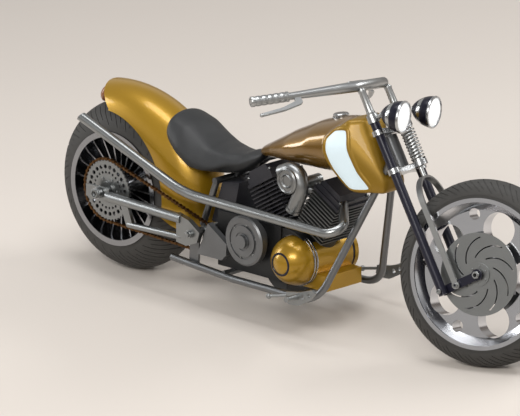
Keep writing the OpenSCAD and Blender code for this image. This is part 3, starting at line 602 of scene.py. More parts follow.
def treaded_tyre(size, hub, grooves, cells, sweep):
    """A tyre whose tread columns follow the curve of its grooves.

    A closed section is twisted along the groove's curve and spun round the axle; every tread
    column that is a groove is then pressed in."""
    crown, half, seat = size["crown"], size["half"], size["seat"]
    middle = crown - half
    piece = start("circle", vertices=72, radius=half, location=(middle, 0, 0),
                  rotation=(math.pi / 2, 0, 0))
    bpy.ops.mesh.bisect(plane_co=(seat, 0, 0), plane_no=(1, 0, 0), clear_inner=True)
    mesh = bmesh.from_edit_mesh(piece.data)
    bpy.ops.mesh.select_mode(type="VERT")
    for vert in mesh.verts:
        vert.select = len(vert.link_edges) == 1
    bmesh.update_edit_mesh(piece.data)
    bpy.ops.mesh.edge_face_add()

    def turn_of(point):
        """Angle of a place on the section, from its crown."""
        return math.atan2(point.z, math.hypot(point.x, point.y) - middle)

    def lean_of(point):
        """How far the groove has run round the wheel at this place on the section."""
        share = abs(turn_of(point)) / (math.pi / 2)
        return sweep * (share * share * (1.6 - 0.6 * share))

    mesh = bmesh.from_edit_mesh(piece.data)
    for vert in mesh.verts:
        vert.co = Matrix.Rotation(lean_of(vert.co), 3, "Z") @ vert.co
    bmesh.update_edit_mesh(piece.data)
    columns = grooves * cells
    bpy.ops.mesh.select_all(action="SELECT")
    bpy.ops.mesh.spin(steps=columns, angle=2 * math.pi, center=(0, 0, 0), axis=(0, 0, 1),
                      use_auto_merge=True)
    bpy.ops.mesh.select_all(action="SELECT")
    bpy.ops.mesh.remove_doubles(threshold=1e-5)
    bpy.ops.mesh.normals_make_consistent(inside=False)

    def is_groove(centre, normal):
        turn = math.degrees(turn_of(centre))
        around = (math.atan2(centre.y, centre.x) - lean_of(centre)) / (2 * math.pi)
        column = int(around * columns + columns)
        column = (column + (cells // 2 if turn < 0 else 0)) % cells
        if column == 0:
            return LONG_GROOVE[0] < abs(turn) < LONG_GROOVE[1]
        return column == cells // 2 and SHORT_GROOVE[0] < abs(turn) < SHORT_GROOVE[1]

    def is_wall_line(centre, normal):
        return WALL_LINE[0] < abs(math.degrees(turn_of(centre))) < WALL_LINE[1]

    pick_faces(piece, is_groove)
    press_in(sizes().tread_depth)
    pick_faces(piece, is_wall_line)
    press_in(WALL_LINE_DEPTH)
    bpy.ops.object.mode_set(mode="OBJECT")
    piece.data.transform(hub)
    return piece


class MOTORCYCLE_OT_tyres(bpy.types.Operator):
    """Models both tyres with their curved tread"""
    bl_idname = "motorcycle.tyres"
    bl_label = "Tyres"

    def execute(self, context):
        front = treaded_tyre(FRONT_TYRE, aim(FRONT_AXLE, FORK_LEFT, FORK_FORWARD), **FRONT_TREAD)
        hand_over(front, "front_tyre_tread", "front_wheel", "tyre", "front_tyre")
        rear = treaded_tyre(REAR_TYRE, aim(REAR_AXLE, LEFT, FORWARD), **REAR_TREAD)
        hand_over(rear, "rear_tyre_tread", "rear_wheel", "tyre", "rear_tyre")
        return {"FINISHED"}


def skin_over(nodes, voxel, rounds):
    """One closed, smooth skin over copies of some solids."""
    copies = []
    for node in nodes:
        copy = frame["nodes"][node].copy()
        copy.data = copy.data.copy()
        copy.parent = None
        for key in list(copy.keys()):
            del copy[key]
        bpy.context.scene.collection.objects.link(copy)
        copies.append(copy)
    skin = join(copies)
    bpy.ops.object.mode_set(mode="EDIT")
    bpy.ops.mesh.select_all(action="SELECT")
    bpy.ops.mesh.remove_doubles(threshold=1e-5)
    bpy.ops.object.mode_set(mode="OBJECT")
    apply_modifier(skin, "Skin", "REMESH", mode="VOXEL", voxel_size=voxel, use_smooth_shade=True)
    apply_modifier(skin, "Smooth", "SMOOTH", factor=0.5, iterations=rounds)
    return skin


TANK_NODES = ("fuel_tank", "tank_nose", "tank_panels")
TANK_FILL = 0.003

# The pale panel steps down at its edge; the rim round it rises and falls at these distances from the edge
PANEL_STEP = 0.0015
RIM_RISE = (0.0005, 0.004)
RIM_FALL = (0.010, 0.017)

# Outlines on the tank's side, forward of and above the neck's top in the neck's own directions
NOSE_OUTLINE = ((-0.030, 0.190), (-0.100, 0.114), (-0.160, 0.104), (-0.205, 0.084), (-0.228, 0.046),
                (-0.244, -0.029), (-0.215, -0.110), (-0.190, -0.160), (0.000, -0.290), (0.120, 0.000))
PANEL_OUTLINE = ((-0.150, 0.100), (-0.098, 0.082), (-0.122, 0.010), (-0.130, -0.081), (-0.116, -0.158),
                 (-0.196, -0.120), (-0.224, -0.029), (-0.213, 0.044), (-0.192, 0.086))


def rounded(outline, shares=(0.13, 0.25, 0.25)):
    """An outline with its corners cut again and again, towards a smooth curve."""
    points = [Vector(point) for point in outline]
    for share in shares:
        pairs = list(zip(points, points[1:] + points[:1]))
        points = [p for a, b in pairs for p in (a.lerp(b, share), a.lerp(b, 1 - share))]
    return points


def edge_distance(flat, outline):
    """Distance of flat points to a closed outline, negative inside it."""
    nearest = np.full(len(flat), 1e9)
    inside = np.zeros(len(flat), bool)
    for a, b in zip(outline, outline[1:] + outline[:1]):
        a, b = np.array(a), np.array(b)
        run = b - a
        share = np.clip(((flat - a) @ run) / (run @ run), 0, 1)
        nearest = np.minimum(nearest, np.linalg.norm(flat - a - share[:, None] * run, axis=1))
        if a[1] != b[1]:
            crosses = (a[1] > flat[:, 1]) != (b[1] > flat[:, 1])
            at = a[0] + (flat[:, 1] - a[1]) * run[0] / run[1]
            inside ^= crosses & (flat[:, 0] < at)
    return np.where(inside, -nearest, nearest)


def ease(value, low, high):
    """A smooth step from 0 to 1."""
    share = np.clip((value - low) / (high - low), 0, 1)
    return share * share * (3 - 2 * share)


def points_of(piece):
    places = np.empty(len(piece.data.vertices) * 3, np.float32)
    piece.data.vertices.foreach_get("co", places)
    return places.reshape(-1, 3).astype(float)


def set_points(piece, places):
    piece.data.vertices.foreach_set("co", places.astype(np.float32).ravel())
    piece.data.update()


class MOTORCYCLE_OT_tank(bpy.types.Operator):
    """Models the tank as one smooth skin with its nose and its let-in panels"""
    bl_idname = "motorcycle.tank"
    bl_label = "Tank"

    def execute(self, context):
        tank = skin_over(TANK_NODES, voxel=1.7 * sizes().skin, rounds=28)
        apply_modifier(tank, "Fill out", "DISPLACE", strength=TANK_FILL, mid_level=0.0)
        apply_modifier(tank, "Refine", "SUBSURF", levels=1, render_levels=1)
        places = points_of(tank) - np.array(NECK)
        flat = np.stack([places @ np.array(NECK_FORWARD), places @ np.array(RISE)], 1)
        panel = edge_distance(flat, rounded(PANEL_OUTLINE))
        edges = {"nose_edge": edge_distance(flat, rounded(NOSE_OUTLINE)), "panel_edge": panel}
        for name, distance in edges.items():
            layer = tank.data.attributes.new(name, "FLOAT", "POINT")
            layer.data.foreach_set("value", distance.astype(np.float32))
        rim = ease(panel, *RIM_RISE) * (1 - ease(panel, *RIM_FALL))
        inside = 1 - ease(panel, -PANEL_STEP, PANEL_STEP)
        sunk = inside * sizes().panel_depth - rim * sizes().rim_height
        normals = np.array([vert.normal for vert in tank.data.vertices])
        set_points(tank, points_of(tank) - normals * sunk[:, None])
        hand_over(tank, "tank_skin", "chassis", "copper_paint", *TANK_NODES,
                  finish=tank_paint("Tank lacquers", colours()))
        shade(tank, 80.0)
        return {"FINISHED"}


# The seat's lips: how far out they start, and where along the bike they begin and end
LIP_SIDE = (0.085, 0.125)
LIP_BEGIN = (0.25, 0.30)
LIP_END = (0.50, 0.66)
PADDING_PRESSURE = 4.0
PADDING_STEPS = 20


def swell(pad, most):
    """Blows the padding up as cloth, and caps how far a point may move."""
    before = points_of(pad)
    cloth = pad.modifiers.new("Padding", "CLOTH")
    cloth.settings.use_pressure = True
    cloth.settings.uniform_pressure_force = PADDING_PRESSURE
    cloth.settings.effector_weights.gravity = 0.0
    for step in range(1, PADDING_STEPS + 1):
        bpy.context.scene.frame_set(step)
    select_only(pad)
    bpy.ops.object.modifier_apply(modifier="Padding")
    bpy.context.scene.frame_set(1)
    moved = points_of(pad) - before
    reach = np.linalg.norm(moved, axis=1, keepdims=True)
    set_points(pad, before + moved * np.minimum(1.0, most / np.maximum(reach, 1e-9)))


class MOTORCYCLE_OT_seat(bpy.types.Operator):
    """Models the padded seat from its solid"""
    bl_idname = "motorcycle.seat"
    bl_label = "Seat"

    def execute(self, context):
        seat = skin_over(["seat"], voxel=sizes().skin + 0.001, rounds=16)
        places = points_of(seat)
        from_axle = places - np.array(REAR_AXLE)
        ahead, side = from_axle @ np.array(FORWARD), from_axle @ np.array(LEFT)
        lip = ease(np.abs(side), *LIP_SIDE) * ease(ahead, *LIP_BEGIN) * (1 - ease(ahead, *LIP_END))
        places += lip[:, None] * (np.sign(side)[:, None] * np.array(LEFT) * sizes().lip_out
                                  - np.array(UP) * sizes().lip_drop)
        set_points(seat, places)
        apply_modifier(seat, "Slack", "DISPLACE", strength=-0.002, mid_level=0.0)
        swell(seat, sizes().swell)
        apply_modifier(seat, "Settle", "SMOOTH", factor=0.5, iterations=28)
        apply_modifier(seat, "Round", "SUBSURF", levels=1, render_levels=1)
        hand_over(seat, "seat_pad", "chassis", "seat_cover", "seat")
        shade(seat, 80.0)
        return {"FINISHED"}


# The chain's plates: their size, and how far inner and outer ones stand off the chain's middle
PLATE = {"tall": 0.0115, "thick": 0.0016}
PLATE_SIDES = (0.0034, 0.0054)


def chain_loop():
    """The chain's run round both sprockets: its place at a distance along it, and its whole length."""
    span = Vector((DRIVE_AHEAD, DRIVE_HEIGHT - REAR_AXLE_HEIGHT))
    gap, tilt = span.length, math.atan2(span.y, span.x)
    wrap = math.acos((REAR_PITCH_RADIUS - FRONT_PITCH_RADIUS) / gap)
    run = gap * math.sin(wrap)
    front = FRONT_PITCH_RADIUS * 2 * wrap
    back = REAR_PITCH_RADIUS * (2 * math.pi - 2 * wrap)

    def spoke(away, radius, turn):
        return Vector((away + radius * math.cos(turn), radius * math.sin(turn)))

    def at(distance):
        s = distance % (2 * run + front + back)
        if s < run:
            p = spoke(0, REAR_PITCH_RADIUS, wrap).lerp(spoke(gap, FRONT_PITCH_RADIUS, wrap), s / run)
        elif s < run + front:
            p = spoke(gap, FRONT_PITCH_RADIUS, wrap - (s - run) / FRONT_PITCH_RADIUS)
        elif s < 2 * run + front:
            low = spoke(gap, FRONT_PITCH_RADIUS, -wrap)
            p = low.lerp(spoke(0, REAR_PITCH_RADIUS, -wrap), (s - run - front) / run)
        else:
            p = spoke(0, REAR_PITCH_RADIUS, -wrap - (s - 2 * run - front) / REAR_PITCH_RADIUS)
        x = p.x * math.cos(tilt) - p.y * math.sin(tilt)
        z = p.x * math.sin(tilt) + p.y * math.cos(tilt)
        return bike(x, CHAIN_SIDE, z + REAR_AXLE_HEIGHT)

    return at, 2 * run + front + back


def link_plate(long, tall, thick, side):
    """A chain plate with round ends and a waist, standing beside the chain's middle plane."""
    plate = start("cube", size=1.0, scale=(long, tall, thick), location=(0, 0, side))
    pick_edges(plate, lambda a, b: abs(a.z - b.z) > thick / 2)
    bpy.ops.mesh.bevel(offset=tall * 0.48, segments=4, profile=0.5)
    pick_edges(plate, lambda a, b: abs(a.x - b.x) > long / 4)
    bpy.ops.mesh.subdivide(number_cuts=5)
    mesh = bmesh.from_edit_mesh(plate.data)
    for vert in mesh.verts:
        vert.co.y *= 1.0 - 0.5 * math.cos(min(1.0, abs(vert.co.x) / (long * 0.3)) * math.pi / 2)
    bmesh.update_edit_mesh(plate.data)
    tidy_mesh()
    return plate


class MOTORCYCLE_OT_chain(bpy.types.Operator):
    """Models the chain link by link: plates, rollers and pin ends"""
    bl_idname = "motorcycle.chain"
    bl_label = "Chain"

    def execute(self, context):
        at, whole = chain_loop()
        count = 2 * round(whole / CHAIN_PITCH / 2)
        pitch = whole / count
        places = {0: [], 1: []}
        pins = []
        for i in range(count):
            here, there = at(i * pitch), at((i + 1) * pitch)
            places[i % 2].append(aim((here + there) / 2, LEFT, there - here))
            pins.append(aim(here, LEFT, there - here))
        links = []
        for kind, side in enumerate(PLATE_SIDES):
            plates = join([link_plate(pitch * 1.5, side=s * side, **PLATE) for s in SIDES])
            links += stamp(plates, places[kind])
        roller = lathe([(-0.007, 0.0022), (-0.0066, 0.0028), (-0.0026, 0.0028), (-0.0026, 0.0042),
                        (0.0026, 0.0042), (0.0026, 0.0028), (0.0066, 0.0028), (0.007, 0.0022)], sides=10)
        links += stamp(roller, pins)
        hand_over(join(links), "chain_links", "chassis", "chain_steel", "chain")
        return {"FINISHED"}


class MOTORCYCLE_OT_spring(bpy.types.Operator):
    """Winds the fork spring round its rod"""
    bl_idname = "motorcycle.spring"
    bl_label = "Fork spring"

    def execute(self, context):
        wire = sizes().spring_wire
        low, high, turns = SPRING["low"] + wire, SPRING["high"] - wire, SPRING["turns"]
        coil = start("circle", vertices=10, radius=wire, fill_type="NGON",
                     location=(SPRING["radius"] - wire, 0, low), rotation=(math.pi / 2, 0, 0))
        bpy.ops.object.mode_set(mode="OBJECT")
        apply_modifier(coil, "Winding", "SCREW", axis="Z", angle=2 * math.pi, steps=28, render_steps=28,
                       screw_offset=(high - low) / turns, iterations=turns, use_normal_calculate=True)
        bpy.ops.object.mode_set(mode="EDIT")
        tidy_mesh()
        rod = lathe([(-0.130, 0.021), (-0.122, 0.021), (-0.119, 0.013), (-0.020, 0.013), (-0.018, 0.016),
                     (0.002, 0.016), (0.005, 0.019)], sides=32)
        spring = join([coil, rod])
        spring.data.transform(aim(fork(SPRING["ahead"], 0, 0), RISE, FORK_FORWARD))
        hand_over(spring, "spring_coil", "steering", "satin_silver", "spring")
        return {"FINISHED"}


class MOTORCYCLE_OT_grips(bpy.types.Operator):
    """Turns the ribbed hand grips"""
    bl_idname = "motorcycle.grips"
    bl_label = "Grips"

    def execute(self, context):
        end, ribs = GRIP_LENGTH, 5
        stations = [(0.0, 0.0165), (0.001, 0.0195), (0.008, 0.0198), (0.010, 0.0178)]
        step = (end - 0.030) / ribs
        for i in range(ribs):
            base = 0.012 + i * step
            stations += [(base + step * share, 0.0176 + 0.0020 * math.sin(math.pi * share))
                         for share in (0.06, 0.2, 0.35, 0.5, 0.65, 0.8, 0.94)]
        stations += [(end - 0.016, 0.0178), (end - 0.014, 0.0199), (end - 0.003, 0.0199),
                     (end, 0.0180), (end, 0.0095), (end - 0.02, 0.0092)]
        grip = lathe(stations, sides=40)
        places = [aim(tip + (bend - tip).normalized() * GRIP_LENGTH, tip - bend)
                  for bend, tip in zip(fork_pair(*BAR_BEND), fork_pair(*BAR_TIP))]
        hand_over(join(stamp(grip, places)), "ribbed_grips", "steering", "satin_silver", "grips")
        return {"FINISHED"}


class MOTORCYCLE_OT_lamp_rims(bpy.types.Operator):
    """Turns the bright rims of the headlamps"""
    bl_idname = "motorcycle.lamp_rims"
    bl_label = "Lamp rims"

    def execute(self, context):
        r = LAMP_RADIUS
        rim = lathe([(-0.004, r - 0.001), (-0.004, r + 0.0014), (0.000, r + 0.0022), (0.004, r + 0.0005),
                     (0.005, r - 0.004), (0.001, r - 0.006)], sides=72, ring=True)
        places = [aim(middle, LAMP_AXIS) for middle in fork_pair(*LAMP_PLACE)]
        hand_over(join(stamp(rim, places)), "lamp_rims", "steering", "bright_metal")
        return {"FINISHED"}


TAIL_LAMP_MIDDLE = (-0.140, 0.0, 0.655)
STALK_FOOT = (-0.140, 0.0, 0.660)
STALK_TOP = (-0.084, 0.0, 0.718)


class MOTORCYCLE_OT_tail_lamp(bpy.types.Operator):
    """Turns the smoked tail lamp and its stalk"""
    bl_idname = "motorcycle.tail_lamp"
    bl_label = "Tail lamp"

    def execute(self, context):
        away = (UP * 0.42 - FORWARD).normalized()
        lamp = lathe([(-0.014, 0.024), (-0.008, 0.033), (0.0, 0.036), (0.008, 0.034), (0.015, 0.028),
                      (0.020, 0.018), (0.022, 0.006)], sides=40)
        bpy.ops.object.mode_set(mode="EDIT")
        bpy.ops.mesh.select_all(action="SELECT")
        bpy.ops.transform.resize(value=(1.0, 0.8, 1.0), center_override=(0, 0, 0))
        tidy_mesh()
        lamp.data.transform(aim(bike(*TAIL_LAMP_MIDDLE), away, UP))
        foot, top = bike(*STALK_FOOT), bike(*STALK_TOP)
        stalk = lathe([(0.0, 0.007), (0.004, 0.009), ((top - foot).length, 0.009)], sides=20)
        stalk.data.transform(aim(foot, top - foot))
        hand_over(join([lamp, stalk]), "tail_lamp_lens", "chassis", "red_lens", "tail_lamp")
        return {"FINISHED"}


class MOTORCYCLE_OT_handlebar(bpy.types.Operator):
    """Draws the handlebar, which tapers from its clamps to its grips"""
    bl_idname = "motorcycle.handlebar"
    bl_label = "Handlebar"

    def execute(self, context):
        thick, thin = sizes().bar_middle, sizes().bar_end
        bends, tips = fork_pair(*BAR_BEND), fork_pair(*BAR_TIP)
        halves = []
        for bend, tip, other in zip(bends, tips, reversed(bends)):
            halves.append([tip, tip.lerp(bend, 0.3), tip.lerp(bend, 0.8), bend.lerp(tip, 0.05),
                           bend.lerp(other, 0.06)])
        path = halves[0] + halves[1][::-1]
        half_radii = [thin, thin, thick * 0.93, thick, thick]
        radii = half_radii + half_radii[::-1]
        curve = bpy.data.curves.new("Bar line", "CURVE")
        curve.dimensions = "3D"
        curve.bevel_depth = 1.0
        curve.bevel_resolution = 7
        curve.use_fill_caps = True
        line = curve.splines.new("POLY")
        line.points.add(len(path) - 1)
        for point, place, radius in zip(line.points, path, radii):
            point.co = (*place, 1.0)
            point.radius = radius
        bar = bpy.data.objects.new("Bar line", curve)
        context.scene.collection.objects.link(bar)
        select_only(bar)
        bpy.ops.object.convert(target="MESH")
        bar = context.object
        bpy.ops.object.mode_set(mode="EDIT")
        tidy_mesh()
        hand_over(bar, "tapered_bar", "steering", "satin_silver", "handlebar")
        return {"FINISHED"}


class MOTORCYCLE_OT_riser_sleeves(bpy.types.Operator):
    """Turns the sleeves on the posts that carry the handlebar"""
    bl_idname = "motorcycle.riser_sleeves"
    bl_label = "Riser sleeves"

    def execute(self, context):
        sleeve = lathe([(0.0, 0.0160), (0.003, 0.0172), (0.010, 0.0172), (0.013, 0.0150),
                        (0.088, 0.0138), (0.091, 0.0152), (0.097, 0.0152)], sides=40)
        feet = fork_pair(FORK_LEG_AHEAD, FORK_LEG_SIDE, 0.088)
        places = [aim(foot, RISE, FORK_FORWARD) for foot in feet]
        hand_over(join(stamp(sleeve, places)), "riser_sleeves", "steering", "satin_silver")
        return {"FINISHED"}


class MOTORCYCLE_OT_drum_trim(bpy.types.Operator):
    """Turns the drum's bright bands and black rings"""
    bl_idname = "motorcycle.drum_trim"
    bl_label = "Drum trim"

    def execute(self, context):
        r = DRUM_RADIUS
        place = aim(bike(*DRUM_MIDDLE), LEFT, FORWARD)
        bands = join([lathe([(y, r + 0.001), (y, r + 0.0036), (y + 0.0015, r + 0.0046),
                             (y + 0.0065, r + 0.0046), (y + 0.008, r + 0.0036), (y + 0.008, r + 0.001)],
                            sides=96, ring=True) for y in (-0.0885, -0.0745)])
        bands.data.transform(place)
        hand_over(bands, "drum_bands", "chassis", "bright_metal")
        dome, ring_radius = -0.088, 0.044
        near = dome - math.sqrt(r * r - ring_radius ** 2)
        near_ring = lathe([(near - 0.001, 0.0375), (near - 0.003, 0.0395), (near - 0.003, 0.0435),
                           (near + 0.002, 0.0465), (near + 0.004, 0.040)], sides=96, ring=True)
        far_ring = lathe([(0.119, r - 0.020), (0.119, r - 0.006), (0.140, r - 0.006), (0.140, r - 0.020)],
                         sides=96, ring=True)
        rings = join([near_ring, far_ring])
        rings.data.transform(place)
        hand_over(rings, "drum_rings", "chassis", "black_gloss")
        return {"FINISHED"}


CAP_PLACE = (1.090, 0.0, 0.803)
CAP_LEAN = -0.12


class MOTORCYCLE_OT_fuel_cap(bpy.types.Operator):
    """Turns the knurled fuel cap on the tank's top"""
    bl_idname = "motorcycle.fuel_cap"
    bl_label = "Fuel cap"

    def execute(self, context):
        sides = 48
        cap = lathe([(-0.014, 0.030), (0.0, 0.033), (0.004, 0.033), (0.005, 0.029), (0.014, 0.029),
                     (0.017, 0.026), (0.018, 0.018), (0.017, 0.008)], sides)
        bpy.ops.object.mode_set(mode="EDIT")
        pick_faces(cap, lambda c, n: abs(n.z) < 0.2 and 0.006 < c.z < 0.013
                   and int(math.atan2(c.y, c.x) / (2 * math.pi) * sides + (sides + 0.5)) % 2)
        bpy.ops.mesh.inset(thickness=0.0004, depth=0.0012, use_individual=True)
        tidy_mesh()
        cap.data.transform(aim(bike(*CAP_PLACE), UP + FORWARD * CAP_LEAN, FORWARD))
        hand_over(cap, "fuel_cap", "chassis", "bright_metal")
        return {"FINISHED"}


def hex_bolt():
    """A hexagon bolt head on its washer, one unit in radius, standing up Z."""
    washer = lathe([(0.0, 1.42), (0.14, 1.42), (0.2, 1.34), (0.2, 0.4)], sides=28)
    head = start("cylinder", vertices=6, radius=1.0, depth=0.7, location=(0, 0, 0.5))
    pick_faces(head, lambda centre, normal: normal.z > 0.9)
    bpy.ops.mesh.inset(thickness=0.14, depth=0.07)
    bpy.ops.mesh.inset(thickness=0.16, depth=-0.05)
    tidy_mesh()
    soften(head, 0.05)
    return join([washer, head])


def socket_bolt():
    """A round socket screw, one unit in radius, standing up Z."""
    return lathe([(0.0, 1.0), (0.62, 1.0), (0.78, 0.86), (0.78, 0.52), (0.4, 0.5)], sides=24)


def axle_nut():
    """A hexagon nut, open in the middle, one unit in radius, standing up Z."""
    nut = start("cylinder", vertices=6, radius=1.0, depth=0.62, location=(0, 0, 0.31))
    pick_faces(nut, lambda centre, normal: abs(normal.z) > 0.9)
    bpy.ops.mesh.inset(thickness=0.3, depth=0.0, use_individual=True)
    bpy.ops.mesh.delete(type="FACE")
    pick_edges(nut, lambda a, b: a.xy.length < 0.75 and b.xy.length < 0.75 and abs(a.z - b.z) < 0.01)
    bpy.ops.mesh.bridge_edge_loops()
    tidy_mesh()
    soften(nut, 0.06)
    return nut


def round_row(centre, axis, forward, radius, turn=0.0):
    """Places for a ring of bolts that face along an axis."""
    hub = aim(centre, axis, forward)
    places = []
    for i in range(RING_COUNT):
        angle = turn + i * 2 * math.pi / RING_COUNT
        places.append(hub @ Matrix.Translation((radius * math.cos(angle), radius * math.sin(angle), 0)))
    return places


# Radius of each bolt, screw and nut
PIVOT_BOLT, HEAD_BOLT, SPROCKET_BOLT = 0.011, 0.006, 0.0055
COVER_SCREW, DISC_SCREW, PIN_SCREW, CLAMP_SCREW = 0.0045, 0.0045, 0.0095, 0.0055
REAR_NUT, FRONT_NUT = 0.019, 0.0155

# Where they sit: on the rear arm's pivot, the side cover, the heads, the axles, the fork and the wheels
PIVOT_AHEAD, PIVOT_SIDE, PIVOT_HEIGHT = 0.485, 0.204, 0.265
COVER_MIDDLE = (0.752, -0.176, 0.289)
COVER_RING, COVER_TURN = 0.065, 0.3
HEAD_HALF_LENGTH, HEAD_HALF_WIDTH = 0.062, 0.073
REAR_NUT_SIDE, FRONT_NUT_SIDE = 0.207, 0.089
PIN_DROP = AXLE_DROP + 0.004
LEG_PIN_SIDE = 0.136
ROCKER_PIN_AHEAD, ROCKER_PIN_SIDE = 0.075, 0.1005
CLAMP_SIDE = FORK_LEG_SIDE + 0.0245
CLAMP_RISES = (0.015, -0.140)
DISC_SIDE, DISC_RING = 0.0705, 0.032
SPROCKET_SIDE, SPROCKET_RING = 0.1425, 0.048
RING_COUNT = 6


class MOTORCYCLE_OT_bolts(bpy.types.Operator):
    """Sets the bolts, screws and nuts on each body"""
    bl_idname = "motorcycle.bolts"
    bl_label = "Bolts"

    def execute(self, context):
        def set_of(model, size, places):
            return stamp(model(), [place @ Matrix.Scale(size, 4) for place in places])

        pivots = [aim(bike(PIVOT_AHEAD, s * PIVOT_SIDE, PIVOT_HEIGHT), LEFT * s, FORWARD) for s in SIDES]
        covers = round_row(bike(*COVER_MIDDLE), -LEFT, FORWARD, COVER_RING, COVER_TURN)
        heads = []
        for bank in (1, -1):
            lean = BANK_LEAN * bank
            up = FORWARD * math.sin(lean) + UP * math.cos(lean)
            flat = FORWARD * math.cos(lean) - UP * math.sin(lean)
            top = bike(*CRANK) + up * HEAD_REACH
            heads += [aim(top + flat * (a * HEAD_HALF_LENGTH) + LEFT * (b * HEAD_HALF_WIDTH), up, flat)
                      for a in SIDES for b in SIDES]
        rear_nuts = [aim(bike(0, s * REAR_NUT_SIDE, REAR_AXLE_HEIGHT), LEFT * s, UP) for s in SIDES]
        chassis = (set_of(hex_bolt, PIVOT_BOLT, pivots) + set_of(socket_bolt, COVER_SCREW, covers)
                   + set_of(hex_bolt, HEAD_BOLT, heads) + set_of(axle_nut, REAR_NUT, rear_nuts))
        hand_over(join(chassis), "chassis_bolts", "chassis", "arm_steel")

        def beside_fork(ahead, side, rise):
            return [aim(fork(ahead, s * side, rise), FORK_LEFT * s) for s in SIDES]

        pins = (beside_fork(FORK_LEG_AHEAD, LEG_PIN_SIDE, -PIN_DROP)
                + beside_fork(ROCKER_PIN_AHEAD, ROCKER_PIN_SIDE, -PIN_DROP))
        clamps = [place for rise in CLAMP_RISES for place in beside_fork(FORK_LEG_AHEAD, CLAMP_SIDE, rise)]
        front_nuts = beside_fork(AXLE_AHEAD, FRONT_NUT_SIDE, -AXLE_DROP)
        steering = (set_of(socket_bolt, PIN_SCREW, pins) + set_of(socket_bolt, CLAMP_SCREW, clamps)
                    + set_of(axle_nut, FRONT_NUT, front_nuts))
        hand_over(join(steering), "steering_bolts", "steering", "arm_steel")

        disc = round_row(FRONT_AXLE - FORK_LEFT * DISC_SIDE, -FORK_LEFT, FORK_FORWARD, DISC_RING)
        disc_bolts = join(set_of(socket_bolt, DISC_SCREW, disc))
        hand_over(disc_bolts, "disc_bolts", "front_wheel", "arm_steel")
        sprocket = round_row(REAR_AXLE - LEFT * SPROCKET_SIDE, -LEFT, FORWARD, SPROCKET_RING)
        sprocket_bolts = join(set_of(hex_bolt, SPROCKET_BOLT, sprocket))
        hand_over(sprocket_bolts, "sprocket_bolts", "rear_wheel", "arm_steel")
        return {"FINISHED"}


# Softboxes: name, place, width and height, power and tone
LIGHTS = (
    ("Key softbox", (2.4, -4.4, 4.2), (3.0, 1.6), 190.0, (1.0, 0.98, 0.95)),
    ("Back softbox", (2.5, 3.8, 3.6), (3.2, 1.2), 130.0, (1.0, 1.0, 1.0)),
    ("Left strip", (-4.4, -2.2, 2.2), (0.9, 2.6), 70.0, (0.96, 0.98, 1.0)),
    ("Overhead", (0.0, 0.0, 5.0), (4.5, 1.4), 120.0, (1.0, 1.0, 1.0)),
)
LIGHT_TARGET = (0.0, 0.0, 0.5)


def soft_light(name, place, size, power, tone):
    """A softbox that faces the middle of the object."""
    lamp = bpy.data.lights.new(name, "AREA")
    lamp.shape = "RECTANGLE"
    lamp.size, lamp.size_y = size
    lamp.energy = power
    lamp.color = tone
    stand = bpy.data.objects.new(name, lamp)
    stand.location = place
    stand.rotation_euler = (Vector(LIGHT_TARGET) - Vector(place)).to_track_quat("-Z", "Y").to_euler()
    bpy.context.scene.collection.objects.link(stand)


# The photograph's view: directions in the bike frame, and what lies at the picture's middle
VIEW_FORWARD = (-0.66890, 0.68855, -0.28013)
VIEW_UP = (-0.19519, 0.20093, 0.95996)
VIEW_MIDDLE = (0.7775, -0.1146, 0.4106)
PICTURE_WIDTH = 1.951
CAMERA_AWAY = 50.0
SENSOR = 36.0
FLOOR_SIZE = 60.0
FLOOR_HEIGHT = -0.0005

# Tones of the studio round the object, from its horizon to straight above
SKY = ((0.0, (0.30, 0.25, 0.22)), (0.09, (0.40, 0.35, 0.31)), (0.20, (1.00, 0.97, 0.93)),
       (0.45, (1.00, 0.98, 0.95)), (0.62, (0.55, 0.54, 0.54)), (1.0, (0.70, 0.70, 0.72)))
SKY_STRENGTH = 0.62


class MOTORCYCLE_OT_stage(bpy.types.Operator):
    """Sets the floor, the studio light and the camera"""
    bl_idname = "motorcycle.stage"
    bl_label = "Stage"

    def execute(self, context):
        scene = context.scene
        scene.view_settings.view_transform = "Standard"
        floor = start("grid", x_subdivisions=8, y_subdivisions=8, size=FLOOR_SIZE,
                      location=(0, 0, FLOOR_HEIGHT))
        bpy.ops.object.mode_set(mode="OBJECT")
        floor.name = "studio_floor"
        floor.data.materials.append(floor_paint("Studio floor", colours().floor))

        world = bpy.data.worlds.new("Studio")
        scene.world = world
        world.use_nodes = True
        tree = world.node_tree
        back = tree.nodes["Background"]
        turn = tree.nodes.new("ShaderNodeTexCoord")
        split = tree.nodes.new("ShaderNodeSeparateXYZ")
        ramp = tree.nodes.new("ShaderNodeValToRGB")
        tree.links.new(turn.outputs["Generated"], split.inputs[0])
        tree.links.new(split.outputs[2], ramp.inputs[0])
        tree.links.new(ramp.outputs[0], back.inputs[0])
        stops = ramp.color_ramp.elements
        for height, tone in SKY[1:-1]:
            stops.new(height)
        for stop, (height, tone) in zip(stops, SKY):
            stop.color = tint(tone)
        back.inputs[1].default_value = SKY_STRENGTH

        for light in LIGHTS:
            soft_light(*light)

        def turned(vector):
            x, y, z = vector
            return FORWARD * x + LEFT * y + UP * z

        eye = bpy.data.cameras.new("Photo view")
        eye.sensor_width = SENSOR
        eye.lens = SENSOR * CAMERA_AWAY / PICTURE_WIDTH
        eye.clip_end = 4 * CAMERA_AWAY
        camera = bpy.data.objects.new("Photo view", eye)
        scene.collection.objects.link(camera)
        ahead, above = turned(VIEW_FORWARD), turned(VIEW_UP)
        place = Matrix((ahead.cross(above), above, -ahead)).transposed().to_4x4()
        place.translation = bike(*VIEW_MIDDLE) - ahead * CAMERA_AWAY
        camera.matrix_world = place
        scene.camera = camera
        return {"FINISHED"}


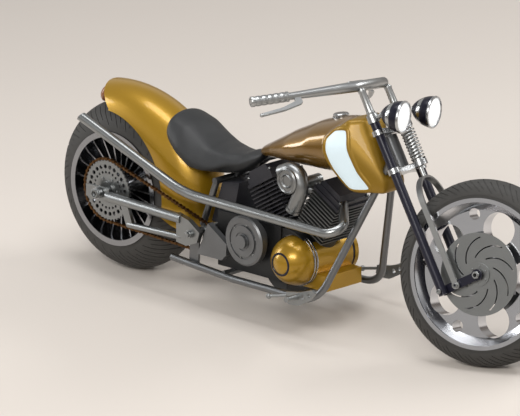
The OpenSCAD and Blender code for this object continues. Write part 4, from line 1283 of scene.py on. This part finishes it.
OPERATORS = (MOTORCYCLE_OT_finishes, MOTORCYCLE_OT_tyres, MOTORCYCLE_OT_tank, MOTORCYCLE_OT_seat,
             MOTORCYCLE_OT_chain, MOTORCYCLE_OT_spring, MOTORCYCLE_OT_grips, MOTORCYCLE_OT_lamp_rims,
             MOTORCYCLE_OT_tail_lamp, MOTORCYCLE_OT_handlebar, MOTORCYCLE_OT_riser_sleeves,
             MOTORCYCLE_OT_drum_trim, MOTORCYCLE_OT_fuel_cap, MOTORCYCLE_OT_bolts, MOTORCYCLE_OT_stage)


class MOTORCYCLE_PT_panel(bpy.types.Panel):
    """Lists the motorcycle's pieces"""
    bl_label = "Motorcycle"
    bl_idname = "MOTORCYCLE_PT_panel"
    bl_space_type = "VIEW_3D"
    bl_region_type = "UI"
    bl_category = "Motorcycle"

    def draw(self, context):
        for operator in OPERATORS:
            self.layout.operator(operator.bl_idname)


CLASSES = (MotorcycleColours, MotorcycleSizes, *OPERATORS, MOTORCYCLE_PT_panel)


def register():
    for made in CLASSES:
        bpy.utils.register_class(made)
    bpy.types.Scene.motorcycle_colours = bpy.props.PointerProperty(type=MotorcycleColours)
    bpy.types.Scene.motorcycle_sizes = bpy.props.PointerProperty(type=MotorcycleSizes)


def unregister():
    del bpy.types.Scene.motorcycle_colours
    del bpy.types.Scene.motorcycle_sizes
    for made in reversed(CLASSES):
        bpy.utils.unregister_class(made)


def main():
    register()
    bpy.ops.motorcycle.finishes()
    bpy.ops.motorcycle.tyres()
    bpy.ops.motorcycle.tank()
    bpy.ops.motorcycle.seat()
    bpy.ops.motorcycle.chain()
    bpy.ops.motorcycle.spring()
    bpy.ops.motorcycle.grips()
    bpy.ops.motorcycle.lamp_rims()
    bpy.ops.motorcycle.tail_lamp()
    bpy.ops.motorcycle.handlebar()
    bpy.ops.motorcycle.riser_sleeves()
    bpy.ops.motorcycle.drum_trim()
    bpy.ops.motorcycle.fuel_cap()
    bpy.ops.motorcycle.bolts()
    bpy.ops.motorcycle.stage()


if __name__ == "__main__":
    main()
